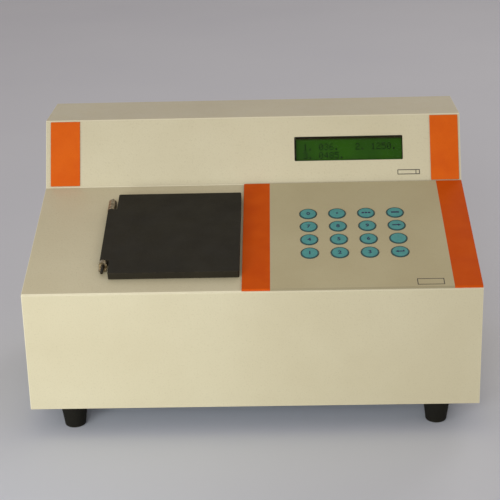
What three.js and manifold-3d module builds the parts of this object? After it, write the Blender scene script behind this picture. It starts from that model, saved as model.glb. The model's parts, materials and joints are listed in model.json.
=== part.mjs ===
// Bench colorimeter: a folded sheet case with a sloped deck, a hinged sample lid, a sixteen-key
// pad and a leaning display face, with the light path, the boards and the mains parts inside.
// Millimetres, +Z up. X runs to the right, Y to the back. The case stands on four rubber feet, and
// the origin is on the table under the middle of the whole object.

import * as THREE from 'three';
import { mergeVertices } from 'three/addons/utils/BufferGeometryUtils.js';
import Module from 'manifold-3d';

const wasm = await Module();
wasm.setup();

// Case: side view from the front panel over the deck and the display face to the top
const caseWidth = 300;
const frontHeight = 82.5;
const deckLength = 123.7;
const faceLength = 49.5;
const topDepth = 53.2;
const deckSlopeDegrees = 17;
const faceLeanDegrees = 25.6;
const sheet = 1.2;
const bendInside = 0.4;
const rearFlange = 12;

// Clearances, and how far a cutter runs past what it cuts
const fit = 0.3;
const overrun = 6;

// Round forms: steps in a corner and at a slot's end, and sides of a small, a middle and a large round
const cornerSteps = 3;
const slotSteps = 2;
const smallSides = 12;
const middleSides = 20;
const largeSides = 40;

// Base tray and rear panel
const baseThick = 1.5;
const lipHeight = 14;
const panelThick = 1.5;
const panelInset = 0.6;
const panelFoot = 12;
const sideScrewRadius = 1.7;
const sideScrewHeight = 8;
const sideScrewShares = [0.12, 0.5, 0.88];
const ventWidth = 3;
const ventLength = 34;
const ventPitch = 8;
const ventCount = 11;
const ventHeight = 112;
const ventRowX = 66;
const floorVentLength = 26;
const floorVentCount = 7;

// Rubber feet
const footHeight = 18.5;
const footTopRadius = 9.5;
const footBottomRadius = 7.1;
const footEdge = 1;
const footBoreRadius = 3.2;
const footBoreDepth = 9;
const footInsetX = 27;
const footInsetFront = 15;
const footInsetRear = 26;

// Sample lid on the deck: insets from the case's left side and from the deck's two ends
const lidInset = 55.5;
const lidWidth = 86.6;
const lidFront = 14.5;
const lidBackInset = 17.9;
const lidThick = 5;
const lidSkin = 2;
const lidWall = 2.5;
const lidGap = 0.4;
const lidCorner = 1;
const tongueReach = 6.8;
const frontNotch = 15.1;
const rearNotch = 17.9;
const lidOpenDegrees = 105;
const sealThick = 0.8;

// Hinge: a pin held by a thin front bracket and a long rear one, which stand in the lid's notches
const pinRadius = 1;
const pinFrontEnd = 8.3;
const pinRearEnd = 3;
const earRadius = 2.7;
const earGap = 0.5;
const frontEarLength = 2.8;
const rearEarLength = 11.5;
const bracketFoot = 1.4;
const bracketFootLength = 3.4;
const studRadius = 1.5;
const studReach = 3;

// Sample well under the lid
const wellMarginX = 10.9;
const wellMarginUp = 12;
const wellFloor = 78;
const wellWall = 1.5;
const wellFlange = 5;
const wellFlangeThick = 1.7;

// Light path: all heights follow from the cell, which stands in the holder
const cellSide = 12.6;
const cellDepth = 38;
const beamHeight = 15;
const beamRadius = 4;
const leadIn = 1.2;
const holderSide = 34;
const benchTop = 15;
const benchThick = 3;
const benchMargin = 3;
const benchFrontReach = 27.8;
const benchLegRadius = 4;
const benchLegInset = 8;

// Filter wheel and its motor
const wheelGap = 4.9;
const wheelThick = 2;
const wheelRadius = 33.5;
const filterCircle = 26;
const filterRadius = 5.5;
const filterThick = 1.6;
const filterCount = 8;
const hubRadius = 7;
const hubLength = 2;
const shaftRadius = 2.5;
const shaftGap = 0.4;
const shaftLength = 16;
const motorSide = 28;
const motorLength = 20;
const motorCorner = 4;
const motorBossRadius = 8;
const motorBossLength = 1.5;
const motorPlate = 2;
const motorPlateMargin = 2;

// Lens, lamp and detector
const lensGap = 8.5;
const lensMountThick = 8;
const lensMountHalf = 9;
const lensRadius = 6.5;
const lensEdge = 2;
const lensCrown = 1.6;
const lampGap = 18;
const lampHolderThick = 12;
const lampHolderHalf = 10;
const lampRadius = 4.5;
const lampBase = 12;
const bulbRadius = 5;
const bulbLength = 13;
const detectorLength = 20;
const detectorHalf = 12;
const detectorBoreDepth = 12;

// Display on the leaning face: the window's inset from the case's right side and from the face's foot
const windowInset = 41.5;
const windowWidth = 78.1;
const windowHeight = 17.8;
const windowBottom = 16.4;
const windowCorner = 0.8;
const windowLap = 3;
const windowThick = 1.5;
const moduleWidth = 116;
const moduleHeight = 36;
const moduleBoard = 1.6;
const moduleBezelWidth = 97;
const moduleBezelHeight = 26;
const moduleBezelThick = 6;
const moduleViewDepth = 0.8;
const moduleViewMargin = 1;
const moduleHoleRadius = 1.6;
const moduleHoleInset = 3;

// Coloured stripes on the display face
const leftStripeInset = 3.6;
const leftStripeWidth = 21.3;
const rightStripeInset = 1.6;
const rightStripeWidth = 20.2;
const stripeThick = 0.25;
const stripeInset = 0.3;

// Key pad on the deck
const padGap = 1.6;
const padEdgeInset = 0.3;
const membraneThick = 0.2;
const filmLift = 0.8;
const filmThick = 0.4;
const tailSlotLength = 32;
const tailSlotWidth = 3;
const tailSlotUp = 24;
const keyRadius = 6;
const keyHoleGap = 0.35;
const keyLift = 0.85;
const keyHeight = 0.8;
const keyCrown = 0.15;
const keyEdge = 0.5;
const keyPitchX = 20.1;
const keyPitchUp = 15.1;
const keyShift = 2.7;
const keyBackInset = 39.9;
const keyRows = 4;
const keyColumns = 4;

// Main board with what stands on it
const boardGap = 20;
const boardInset = 13;
const boardFront = 14;
const boardBackGap = 8;
const boardThick = 1.6;
const standoffHeight = 6.5;
const standoffRadius = 4;
const standoffInset = 6;
const chipThick = 4;
const chipWidth = 15;
const chipShare = 0.4;
const capacitorRadius = 8;
const capacitorHeight = 25;
const capacitorShares = [0.58, 0.74, 0.9];
const sinkShares = [0.1, 0.45];
const sinkDepth = 18;
const sinkHeight = 30;
const sinkSlot = 3;
const sinkSlotDepth = 11;
const sinkSlotCount = 6;
const headerShare = 0.32;
const headerWidth = 8;
const headerHeight = 9;
const boardRowShares = [0.22, 0.5, 0.86];

// Mains transformer
const coreWidth = 50;
const coreHeight = 42;
const coreDepth = 18;
const coilDepth = 38;
const coilWidth = 32;
const coilHeight = 27;
const coilCorner = 5;
const transformerInset = 38;
const transformerGap = 51.8;

// Mains inlet, fuse and switch in the rear panel, in a row above the base
const mainsRowHeight = 30;
const inletInset = 38;
const inletFlangeWidth = 50;
const inletFlangeHeight = 24;
const inletFlangeThick = 3;
const inletFlangeCorner = 7;
const inletHoleSpacing = 40;
const inletHoleRadius = 1.8;
const inletBodyWidth = 27.6;
const inletBodyHeight = 20;
const inletBodyDepth = 23;
const recessWidth = 24.2;
const recessHeight = 16.2;
const recessDepth = 20;
const recessChamfer = 5;
const pinBladeWidth = 2;
const pinBladeHeight = 4;
const pinBladeLength = 15;
const pinSpacing = 7;
const pinRise = 2;
const fuseSpacing = 38;
const fuseFlangeRadius = 8.2;
const fuseFlangeThick = 2;
const fuseBodyRadius = 6.3;
const fuseBodyDepth = 28;
const fuseBoreRadius = 3.6;
const fuseCapRadius = 6.4;
const fuseCapLength = 8;
const fuseFlute = 0.5;
const fuseFluteCount = 12;
const fuseStemRadius = 3.2;
const fuseStemLength = 16;
const fuseSlotWidth = 1.4;
const fuseSlotDepth = 1.6;
const switchSpacing = 30;
const switchFlangeWidth = 15;
const switchFlangeHeight = 21;
const switchFlangeThick = 1.8;
const switchBodyWidth = 13;
const switchBodyHeight = 19;
const switchBodyDepth = 16;
const switchPocketDepth = 6;
const switchRim = 1.6;
const rockerReach = 3;
const rockerSag = 1.2;
const rockerBelly = 2;
const rockerGap = 0.45;
const rockerTiltDegrees = 10;

// Sizes that follow from the ones above
const radian = Math.PI / 180;
const deckSlope = deckSlopeDegrees * radian;
const faceLean = faceLeanDegrees * radian;
const deckRun = deckLength * Math.cos(deckSlope);
const deckRise = deckLength * Math.sin(deckSlope);
const faceRun = faceLength * Math.sin(faceLean);
const faceRise = faceLength * Math.cos(faceLean);
const caseDepth = deckRun + faceRun + topDepth;
const caseHeight = frontHeight + deckRise + faceRise;
const halfWidth = caseWidth / 2;
const innerHalf = halfWidth - sheet;
const panelOuter = caseDepth - panelInset;
const panelInner = panelOuter - panelThick;
const flangeBack = panelInner - fit;
const trayHalf = innerHalf - fit;
const trayFront = sheet + fit;
const baseSeat = baseThick + fit;

const lidLeft = lidInset - halfWidth;
const lidRight = lidLeft + lidWidth;
const lidBack = deckLength - lidBackInset;
const tongueFront = lidFront + frontNotch;
const tongueBack = lidBack - rearNotch;
const hingeRadius = lidThick / 2;
const hingeX = lidLeft - tongueReach + hingeRadius;
const hingeUp = lidGap + hingeRadius;
const frontEarEnds = [tongueFront - earGap - frontEarLength, tongueFront - earGap];
const rearEarEnds = [tongueBack + earGap, tongueBack + earGap + rearEarLength];
const frontFootEnds = [frontEarEnds[0] - bracketFootLength, frontEarEnds[1]];
const wellX = (lidLeft + lidRight) / 2;
const wellWidth = lidWidth - 2 * wellMarginX;
const wellLength = lidBack - lidFront - 2 * wellMarginUp;
const wellMiddle = (lidFront + lidBack) / 2;
const wellFront = (wellMiddle - wellLength / 2) * Math.cos(deckSlope) + sheet * Math.sin(deckSlope) + fit;
const wellBack = (wellMiddle + wellLength / 2) * Math.cos(deckSlope) - fit;
const wellHalf = wellWidth / 2 - fit;

const beamY = (wellFront + wellBack) / 2;
const beamZ = wellFloor - cellDepth + beamHeight;
const benchSeat = benchTop + fit;
const wheelX = wellX - wellWidth / 2 - wheelGap - wheelThick;
const wheelY = beamY + filterCircle;
const hubLeft = wheelX - hubLength;
const motorPlateRight = hubLeft - shaftGap;
const motorRight = motorPlateRight - motorPlate - fit;
const motorSideHalf = motorSide / 2;
const lensMountX = wheelX - lensGap - lensMountThick;
const lampX = lensMountX - lampGap - lampHolderThick;
const detectorLeft = wellX + holderSide / 2 + fit;
const benchLeft = lampX - benchMargin;
const benchRight = detectorLeft + detectorLength + benchMargin;
const benchFront = beamY - benchFrontReach;
const benchBack = wheelY + motorSideHalf + benchLegInset + benchMargin;

const moduleFace = sheet + fit + windowThick + fit;
const windowRight = halfWidth - windowInset;
const windowLeft = windowRight - windowWidth;
const windowTop = windowBottom + windowHeight;
const windowMiddle = (windowLeft + windowRight) / 2;
const windowHeightMiddle = (windowBottom + windowTop) / 2;
const bendRadius = bendInside + sheet;
const frontBendRun = bendRadius * Math.tan((90 * radian - deckSlope) / 2);
const footBendRun = bendRadius * Math.tan((90 * radian - faceLean - deckSlope) / 2);
const topBendRun = bendRadius * Math.tan((90 * radian - faceLean) / 2);
const padFront = frontBendRun + padEdgeInset;
const padBack = deckLength - footBendRun - padEdgeInset;
const padLeft = lidRight + padGap;
const padRight = halfWidth - padEdgeInset;
const keysMiddle = (padLeft + padRight) / 2 - keyShift;
const stripeBottom = footBendRun + stripeInset;
const stripeTop = faceLength - topBendRun - stripeInset;

const transformerX = halfWidth - transformerInset;
const transformerY = panelInner - transformerGap;
const boardLeft = benchRight + boardGap;
const boardRight = halfWidth - boardInset;
const boardBack = transformerY - coilDepth / 2 - boardBackGap;
const boardSeat = baseThick + standoffHeight + fit;
const boardTop = boardSeat + boardThick;
const inletX = halfWidth - inletInset;
const fuseX = inletX - fuseSpacing;
const switchX = fuseX - switchSpacing;
const switchPocketHalf = switchBodyHeight / 2 - switchRim;
const switchPocketWidthHalf = switchBodyWidth / 2 - switchRim / 2;
const rockerHalf = switchPocketHalf - rockerGap;
const capBack = panelOuter + fuseFlangeThick + fit;
const rearReach = capBack + fuseCapLength;

// Axes in which an outline is drawn and pushed out
const alongX = new THREE.Vector3(1, 0, 0);
const alongY = new THREE.Vector3(0, 1, 0);
const alongZ = new THREE.Vector3(0, 0, 1);
const sideView = new THREE.Matrix4().makeBasis(alongY, alongZ, alongX);
const rearView = new THREE.Matrix4().makeBasis(alongX, alongZ, alongY.clone().negate());

// The deck's and the display face's own frames: X right, Y up the slope, Z out of the sheet
const deckFrame = tiltedFrame(0, frontHeight, deckSlope);
const faceFrame = tiltedFrame(deckRun, frontHeight + deckRise, 90 * radian - faceLean);

function tiltedFrame(y, z, angle) {
  const frame = new THREE.Matrix4().makeRotationX(angle);
  return frame.setPosition(0, y, z);
}

// A closed geometry as a solid that can be cut and joined
function solid(geometry) {
  const bare = geometry.clone();
  bare.deleteAttribute('normal');
  bare.deleteAttribute('uv');
  const merged = mergeVertices(bare);
  const corners = merged.index.array;
  const triangles = [];
  for (let i = 0; i < corners.length; i += 3) {
    const [a, b, c] = corners.slice(i, i + 3);
    if (a !== b && b !== c && c !== a) triangles.push(a, b, c);
  }
  const vertProperties = new Float32Array(merged.attributes.position.array);
  const triVerts = new Uint32Array(triangles);
  return new wasm.Manifold(new wasm.Mesh({ numProp: 3, vertProperties, triVerts }));
}

function geometryOf(body) {
  const { vertProperties, triVerts } = body.getMesh();
  const geometry = new THREE.BufferGeometry();
  geometry.setAttribute('position', new THREE.BufferAttribute(new Float32Array(vertProperties), 3));
  geometry.setIndex(new THREE.BufferAttribute(new Uint32Array(triVerts), 1));
  geometry.computeVertexNormals();
  return geometry;
}

function cut(base, ...tools) {
  return geometryOf(tools.reduce((body, tool) => body.subtract(solid(tool)), solid(base)));
}

function join(base, ...others) {
  return geometryOf(others.reduce((body, other) => body.add(solid(other)), solid(base)));
}

// Plain forms, each given by where it begins and ends
function block(x0, x1, y0, y1, z0, z1) {
  const box = new THREE.BoxGeometry(x1 - x0, y1 - y0, z1 - z0);
  return box.translate((x0 + x1) / 2, (y0 + y1) / 2, (z0 + z1) / 2);
}

function rodZ(radius, x, y, z0, z1, sides) {
  const rod = new THREE.CylinderGeometry(radius, radius, z1 - z0, sides);
  return rod.rotateX(Math.PI / 2).translate(x, y, (z0 + z1) / 2);
}

function rodX(radius, y, z, x0, x1, sides) {
  const rod = new THREE.CylinderGeometry(radius, radius, x1 - x0, sides);
  return rod.rotateZ(Math.PI / 2).translate((x0 + x1) / 2, y, z);
}

function rodY(radius, x, z, y0, y1, sides) {
  const rod = new THREE.CylinderGeometry(radius, radius, y1 - y0, sides);
  return rod.translate(x, (y0 + y1) / 2, z);
}

// A profile of (radius, height) points turned about the Z axis
function turned(profile, sides) {
  const points = profile.map(([radius, height]) => new THREE.Vector2(radius, height));
  return new THREE.LatheGeometry(points, sides).rotateX(Math.PI / 2);
}

function pushed(shape, depth, view = new THREE.Matrix4()) {
  const settings = { depth, bevelEnabled: false, curveSegments: cornerSteps };
  return new THREE.ExtrudeGeometry(shape, settings).applyMatrix4(view);
}

// The corners of a rectangle, each turned in so many steps
function roundedCorners(x0, x1, y0, y1, radius, steps) {
  const corners = [
    [x1 - radius, y0 + radius, -90],
    [x1 - radius, y1 - radius, 0],
    [x0 + radius, y1 - radius, 90],
    [x0 + radius, y0 + radius, 180],
  ];
  const points = [];
  for (const [x, y, start] of corners) {
    for (let step = 0; step <= steps; step += 1) {
      const angle = (start + (90 * step) / steps) * radian;
      points.push(new THREE.Vector2(x + radius * Math.cos(angle), y + radius * Math.sin(angle)));
    }
  }
  return points;
}

function roundedShape(x0, x1, y0, y1, radius) {
  return new THREE.Shape(roundedCorners(x0, x1, y0, y1, radius, cornerSteps));
}

// A slot in a shape, round at the ends of its short sides
function slotHole(x0, x1, y0, y1, radius) {
  return new THREE.Path(roundedCorners(x0, x1, y0, y1, radius, slotSteps));
}

// A round hole whose flats touch its circle, so what fits the circle fits the hole
function roundHole(x, y, radius, sides = smallSides) {
  const reach = radius / Math.cos(Math.PI / sides);
  const points = [];
  for (let i = 0; i < sides; i += 1) {
    const angle = (i * 2 * Math.PI) / sides;
    points.push(new THREE.Vector2(x + reach * Math.cos(angle), y + reach * Math.sin(angle)));
  }
  return new THREE.Path(points);
}

function shapeOf(points) {
  return new THREE.Shape(points.map(([x, y]) => new THREE.Vector2(x, y)));
}

// A line of corners moved to its right-hand side by a distance
function movedInward(corners, distance) {
  const edges = corners.slice(1).map((corner, i) => corner.clone().sub(corners[i]).normalize());
  const normals = edges.map((edge) => new THREE.Vector2(edge.y, -edge.x));
  return corners.map((corner, i) => {
    const before = normals[Math.max(i - 1, 0)];
    const after = normals[Math.min(i, normals.length - 1)];
    const middle = before.clone().add(after).normalize();
    return corner.clone().addScaledVector(middle, distance / middle.dot(before));
  });
}

// The same line with an arc in place of each inner corner
function withBends(corners, outerRadius, isMovedIn) {
  const points = [corners[0]];
  for (let i = 1; i < corners.length - 1; i += 1) {
    const into = corners[i].clone().sub(corners[i - 1]).normalize();
    const out = corners[i + 1].clone().sub(corners[i]).normalize();
    const turn = into.x * out.y - into.y * out.x;
    const angle = Math.asin(Math.min(1, Math.abs(turn)));
    const bendsInward = turn > 0;
    const change = bendsInward ? sheet : -sheet;
    const radius = isMovedIn ? outerRadius + change : outerRadius;
    const run = radius * Math.tan(angle / 2);
    const side = Math.sign(turn);
    const start = corners[i].clone().addScaledVector(into, -run);
    const centre = start.clone().add(new THREE.Vector2(-into.y, into.x).multiplyScalar(side * radius));
    for (let step = 0; step <= cornerSteps; step += 1) {
      const arm = start.clone().sub(centre);
      points.push(arm.rotateAround(new THREE.Vector2(), (side * angle * step) / cornerSteps).add(centre));
    }
  }
  points.push(corners[corners.length - 1]);
  return points;
}

const caseCorners = [
  new THREE.Vector2(0, 0),
  new THREE.Vector2(0, frontHeight),
  new THREE.Vector2(deckRun, frontHeight + deckRise),
  new THREE.Vector2(deckRun + faceRun, caseHeight),
  new THREE.Vector2(caseDepth, caseHeight),
];

// Height of the deck's outer skin over the case's underside
function deckHeight(y) {
  return frontHeight + y * Math.tan(deckSlope);
}

function coverOutside() {
  const line = withBends(caseCorners, bendRadius, false);
  const shape = new THREE.Shape([...line, new THREE.Vector2(caseDepth, 0)]);
  return pushed(shape, caseWidth, sideView).translate(-halfWidth, 0, 0);
}

function coverInside() {
  const line = withBends(movedInward(caseCorners, sheet), bendRadius, true);
  const first = line[0];
  const last = line[line.length - 1];
  first.y -= overrun;
  last.x += overrun;
  const shape = new THREE.Shape([...line, new THREE.Vector2(last.x, first.y)]);
  return pushed(shape, 2 * innerHalf, sideView).translate(-innerHalf, 0, 0);
}

// A frame folded inwards behind the rear edge, which the rear panel is screwed to
function rearFrame() {
  const top = caseHeight - sheet / 2;
  const side = halfWidth - sheet / 2;
  const shape = shapeOf([
    [-side, lipHeight + fit],
    [-side + rearFlange, lipHeight + fit],
    [-side + rearFlange, top - rearFlange],
    [side - rearFlange, top - rearFlange],
    [side - rearFlange, lipHeight + fit],
    [side, lipHeight + fit],
    [side, top],
    [-side, top],
  ]);
  return pushed(shape, sheet, rearView).translate(0, flangeBack, 0);
}

function makeCover() {
  const wellHole = block(
    wellX - wellWidth / 2, wellX + wellWidth / 2,
    wellMiddle - wellLength / 2, wellMiddle + wellLength / 2,
    -sheet - overrun, overrun,
  ).applyMatrix4(deckFrame);
  const tailHole = block(
    keysMiddle - tailSlotLength / 2, keysMiddle + tailSlotLength / 2,
    tailSlotUp - tailSlotWidth / 2, tailSlotUp + tailSlotWidth / 2,
    -sheet - overrun, overrun,
  ).applyMatrix4(deckFrame);
  const windowShape = roundedShape(windowLeft, windowRight, windowBottom, windowTop, windowCorner);
  const windowHole = pushed(windowShape, 2 * overrun).translate(0, 0, -overrun).applyMatrix4(faceFrame);
  const screwHoles = sideScrewShares.map((share) => rodX(
    sideScrewRadius, share * caseDepth, sideScrewHeight, -halfWidth - overrun, halfWidth + overrun, smallSides,
  ));
  const studHoles = [frontFootEnds, rearEarEnds].map((ends) => (
    rodZ(studRadius + fit, hingeX, (ends[0] + ends[1]) / 2, -sheet - overrun, overrun, smallSides)
      .applyMatrix4(deckFrame)
  ));
  const shell = join(cut(coverOutside(), coverInside()), rearFrame());
  return cut(shell, wellHole, tailHole, windowHole, ...screwHoles, ...studHoles);
}

// Footprint of the feet, also used for their screw holes
function footPlaces() {
  const x = halfWidth - footInsetX;
  const rearY = caseDepth - footInsetRear;
  return {
    foot_front_left: [-x, footInsetFront],
    foot_front_right: [x, footInsetFront],
    foot_rear_left: [-x, rearY],
    foot_rear_right: [x, rearY],
  };
}

function boardCorners() {
  const left = boardLeft + standoffInset;
  const right = boardRight - standoffInset;
  const front = boardFront + standoffInset;
  const back = boardBack - standoffInset;
  return [[left, front], [right, front], [right, back], [left, back]];
}

function makeBasePlate() {
  const floor = roundedShape(-trayHalf, trayHalf, trayFront, panelInner - fit, sheet);
  for (const [x, y] of Object.values(footPlaces())) {
    floor.holes.push(roundHole(x, y, footBoreRadius - sheet));
  }
  for (let i = 0; i < floorVentCount; i += 1) {
    const x = transformerX + (i - (floorVentCount - 1) / 2) * ventPitch;
    const front = transformerY - floorVentLength / 2;
    const back = transformerY + floorVentLength / 2;
    floor.holes.push(slotHole(x - ventWidth / 2, x + ventWidth / 2, front, back, ventWidth / 2));
  }
  const plate = pushed(floor, baseThick);
  const lipEnd = flangeBack - sheet - fit;
  const lipStart = trayFront + sheet / 2;
  const lips = [
    block(-trayHalf, -trayHalf + sheet, lipStart, lipEnd, baseThick / 2, lipHeight),
    block(trayHalf - sheet, trayHalf, lipStart, lipEnd, baseThick / 2, lipHeight),
    block(-trayHalf + sheet / 2, trayHalf - sheet / 2, trayFront, trayFront + sheet, baseThick / 2, lipHeight),
  ];
  const posts = boardCorners().map(([x, y]) => (
    rodZ(standoffRadius, x, y, baseThick / 2, baseThick + standoffHeight, smallSides)
  ));
  const screwHoles = sideScrewShares.flatMap((share) => [-1, 1].map((side) => rodX(
    sideScrewRadius, share * caseDepth, sideScrewHeight,
    side * trayHalf - 2 * sheet, side * trayHalf + 2 * sheet, smallSides,
  )));
  return cut(join(plate, ...lips, ...posts), ...screwHoles);
}

function makeRearPanel() {
  const panel = roundedShape(-trayHalf, trayHalf, fit, caseHeight - sheet - fit, sheet);
  for (const rowX of [-ventRowX, ventRowX]) {
    for (let i = 0; i < ventCount; i += 1) {
      const x = rowX + (i - (ventCount - 1) / 2) * ventPitch;
      const low = ventHeight - ventLength / 2;
      const high = ventHeight + ventLength / 2;
      panel.holes.push(slotHole(x - ventWidth / 2, x + ventWidth / 2, low, high, ventWidth / 2));
    }
  }
  const holeHalf = (size) => size / 2 + fit;
  const middle = mainsRowHeight;
  panel.holes.push(slotHole(
    inletX - holeHalf(inletBodyWidth), inletX + holeHalf(inletBodyWidth),
    middle - holeHalf(inletBodyHeight), middle + holeHalf(inletBodyHeight), sheet,
  ));
  panel.holes.push(slotHole(
    switchX - holeHalf(switchBodyWidth), switchX + holeHalf(switchBodyWidth),
    middle - holeHalf(switchBodyHeight), middle + holeHalf(switchBodyHeight), sheet,
  ));
  panel.holes.push(roundHole(fuseX, middle, fuseBodyRadius + fit, middleSides));
  for (const side of [-1, 1]) {
    panel.holes.push(roundHole(inletX + (side * inletHoleSpacing) / 2, middle, inletHoleRadius));
  }
  const plate = pushed(panel, panelThick, rearView).translate(0, panelOuter, 0);
  const foot = block(
    -trayHalf + rearFlange, trayHalf - rearFlange,
    panelInner - panelFoot, panelInner + panelThick / 2, baseSeat, baseSeat + panelThick,
  );
  const flute = block(
    -trayHalf + rearFlange, trayHalf - rearFlange, panelInner - overrun, panelOuter + overrun, -overrun, fit,
  );
  return cut(join(plate, foot), flute);
}

function makeFoot() {
  return turned([
    [0, -footHeight + footBoreDepth],
    [footBoreRadius, -footHeight + footBoreDepth],
    [footBoreRadius, -footHeight],
    [footBottomRadius - footEdge, -footHeight],
    [footBottomRadius, -footHeight + footEdge],
    [footTopRadius, 0],
    [0, 0],
  ], middleSides);
}

// The tongue's end is round about the hinge, with a heel that lands on the deck when the lid is open
function tongueOutline() {
  const heel = (270 - lidOpenDegrees) * radian;
  const points = [];
  for (let step = 0; step <= 2 * cornerSteps; step += 1) {
    const angle = 270 * radian + ((heel - 270 * radian) * step) / (2 * cornerSteps);
    points.push([hingeX + hingeRadius * Math.cos(angle), hingeUp + hingeRadius * Math.sin(angle)]);
  }
  const heelTop = (hingeRadius - hingeRadius * Math.sin(heel)) / Math.cos(heel);
  points.push([hingeX + heelTop, hingeUp + hingeRadius]);
  points.push([lidLeft + lidWall, hingeUp + hingeRadius]);
  points.push([lidLeft + lidWall, hingeUp - hingeRadius]);
  return points.reverse();
}

function makeLid() {
  const plate = pushed(roundedShape(lidLeft, lidRight, lidFront, lidBack, lidCorner), lidThick);
  plate.translate(0, 0, lidGap);
  const pocket = block(
    lidLeft + lidWall, lidRight - lidWall, lidFront + lidWall, lidBack - lidWall,
    lidGap - overrun, lidGap + lidThick - lidSkin,
  );
  const tongue = pushed(shapeOf(tongueOutline()), tongueBack - tongueFront, rearView);
  tongue.translate(0, tongueBack, 0);
  const bore = rodY(pinRadius + fit, hingeX, hingeUp, tongueFront - overrun, tongueBack + overrun, smallSides);
  return cut(join(cut(plate, pocket), tongue), bore);
}

// Foam ring under the lid, over the well's flange
function makeLidSeal() {
  const halfX = wellWidth / 2;
  const halfUp = wellLength / 2;
  const ring = roundedShape(
    wellX - halfX - wellFlange, wellX + halfX + wellFlange,
    wellMiddle - halfUp - wellFlange, wellMiddle + halfUp + wellFlange, lidCorner,
  );
  ring.holes.push(slotHole(
    wellX - halfX, wellX + halfX, wellMiddle - halfUp, wellMiddle + halfUp, lidCorner,
  ));
  const sealTop = lidGap + lidThick - lidSkin - fit;
  return pushed(ring, sealThick).translate(0, 0, sealTop - sealThick);
}

// A hinge bracket: a round-topped ear on a thin foot, with a stud that goes through the deck
function makeBracket(earEnds, footEnds) {
  const left = hingeX - earRadius;
  const right = hingeX + earRadius;
  const ear = join(
    rodY(earRadius, hingeX, hingeUp, ...earEnds, middleSides),
    block(left, right, ...earEnds, fit, hingeUp),
    block(left, right, ...footEnds, fit, fit + bracketFoot),
  );
  const belowDeck = block(
    left - overrun, right + overrun, footEnds[0] - overrun, footEnds[1] + overrun, -overrun, fit,
  );
  const footMiddle = (footEnds[0] + footEnds[1]) / 2;
  const stud = rodZ(studRadius, hingeX, footMiddle, -sheet - studReach, fit + bracketFoot / 2, smallSides);
  const bore = rodY(pinRadius + fit, hingeX, hingeUp, earEnds[0] - overrun, earEnds[1] + overrun, smallSides);
  return cut(join(cut(ear, belowDeck), stud), bore);
}

function makeHingePin() {
  const front = frontEarEnds[0] - pinFrontEnd;
  const back = rearEarEnds[1] + pinRearEnd;
  return rodY(pinRadius, hingeX, hingeUp, front, back, smallSides);
}

// Well with upright walls under a flange that lies on the sloped deck
function makeChamberWell() {
  const walls = pushed(shapeOf([
    [wellFront, wellFloor - wellWall],
    [wellBack, wellFloor - wellWall],
    [wellBack, deckHeight(wellBack) + wellFlangeThick / 2 + fit],
    [wellFront, deckHeight(wellFront) + wellFlangeThick / 2 + fit],
  ]), 2 * wellHalf, sideView).translate(wellX - wellHalf, 0, 0);
  const flange = pushed(roundedShape(
    wellX - wellWidth / 2 - wellFlange, wellX + wellWidth / 2 + wellFlange,
    wellMiddle - wellLength / 2 - wellFlange, wellMiddle + wellLength / 2 + wellFlange, lidCorner,
  ), wellFlangeThick).translate(0, 0, fit).applyMatrix4(deckFrame);
  const inside = block(
    wellX - wellHalf + wellWall, wellX + wellHalf - wellWall,
    wellFront + wellWall, wellBack - wellWall, wellFloor, caseHeight,
  );
  const holderHalf = holderSide / 2 + fit;
  const holderHole = block(
    wellX - holderHalf, wellX + holderHalf, beamY - holderHalf, beamY + holderHalf,
    wellFloor - wellWall - overrun, wellFloor + overrun,
  );
  return cut(join(walls, flange), inside, holderHole);
}

// Block with a square pocket for the cell, a lead-in at its mouth and the light's bore across it
function makeCellHolder() {
  const half = holderSide / 2;
  const body = pushed(roundedShape(wellX - half, wellX + half, beamY - half, beamY + half, leadIn),
    wellFloor - benchSeat).translate(0, 0, benchSeat);
  const pocketHalf = cellSide / 2;
  const pocket = block(
    wellX - pocketHalf, wellX + pocketHalf, beamY - pocketHalf, beamY + pocketHalf,
    wellFloor - cellDepth, wellFloor + overrun,
  );
  const widest = (pocketHalf + leadIn) * Math.SQRT2;
  const narrowest = pocketHalf * Math.SQRT2;
  const mouth = new THREE.CylinderGeometry(widest, narrowest, leadIn, 4).rotateY(Math.PI / 4);
  mouth.rotateX(Math.PI / 2).translate(wellX, beamY, wellFloor - leadIn / 2);
  const beam = rodX(beamRadius, beamY, beamZ, wellX - half - overrun, wellX + half + overrun, smallSides);
  return cut(body, pocket, mouth, beam);
}

function makeOpticalBench() {
  const plate = pushed(roundedShape(benchLeft, benchRight, benchFront, benchBack, benchLegRadius), benchThick);
  plate.translate(0, 0, benchTop - benchThick);
  const legs = [];
  for (const x of [benchLeft + benchLegInset, benchRight - benchLegInset]) {
    for (const y of [benchFront + benchLegInset, benchBack - benchLegInset]) {
      legs.push(rodZ(benchLegRadius, x, y, baseSeat, benchTop - benchThick / 2, smallSides));
    }
  }
  return join(plate, ...legs);
}

// Places round the wheel, from the one in the beam on
function filterPlaces() {
  const places = [];
  for (let i = 0; i < filterCount; i += 1) {
    const angle = Math.PI + (i * 2 * Math.PI) / filterCount;
    places.push([wheelY + filterCircle * Math.cos(angle), beamZ + filterCircle * Math.sin(angle)]);
  }
  return places;
}

function makeFilterWheel() {
  const disc = new THREE.Shape(roundHole(wheelY, beamZ, wheelRadius, largeSides).getPoints());
  for (const [y, z] of filterPlaces()) {
    disc.holes.push(roundHole(y, z, filterRadius, middleSides));
  }
  const wheel = pushed(disc, wheelThick, sideView).translate(wheelX, 0, 0);
  const hub = rodX(hubRadius, wheelY, beamZ, hubLeft, wheelX + wheelThick / 2, middleSides);
  const shaft = rodX(shaftRadius, wheelY, beamZ, hubLeft - shaftLength, wheelX + wheelThick / 2, smallSides);
  return join(wheel, hub, shaft);
}

// A filter lies in its hole in the wheel with the usual clearance
function makeFilter(y, z) {
  const left = wheelX + (wheelThick - filterThick) / 2;
  return rodX(filterRadius - fit, y, z, left, left + filterThick, middleSides);
}

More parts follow.
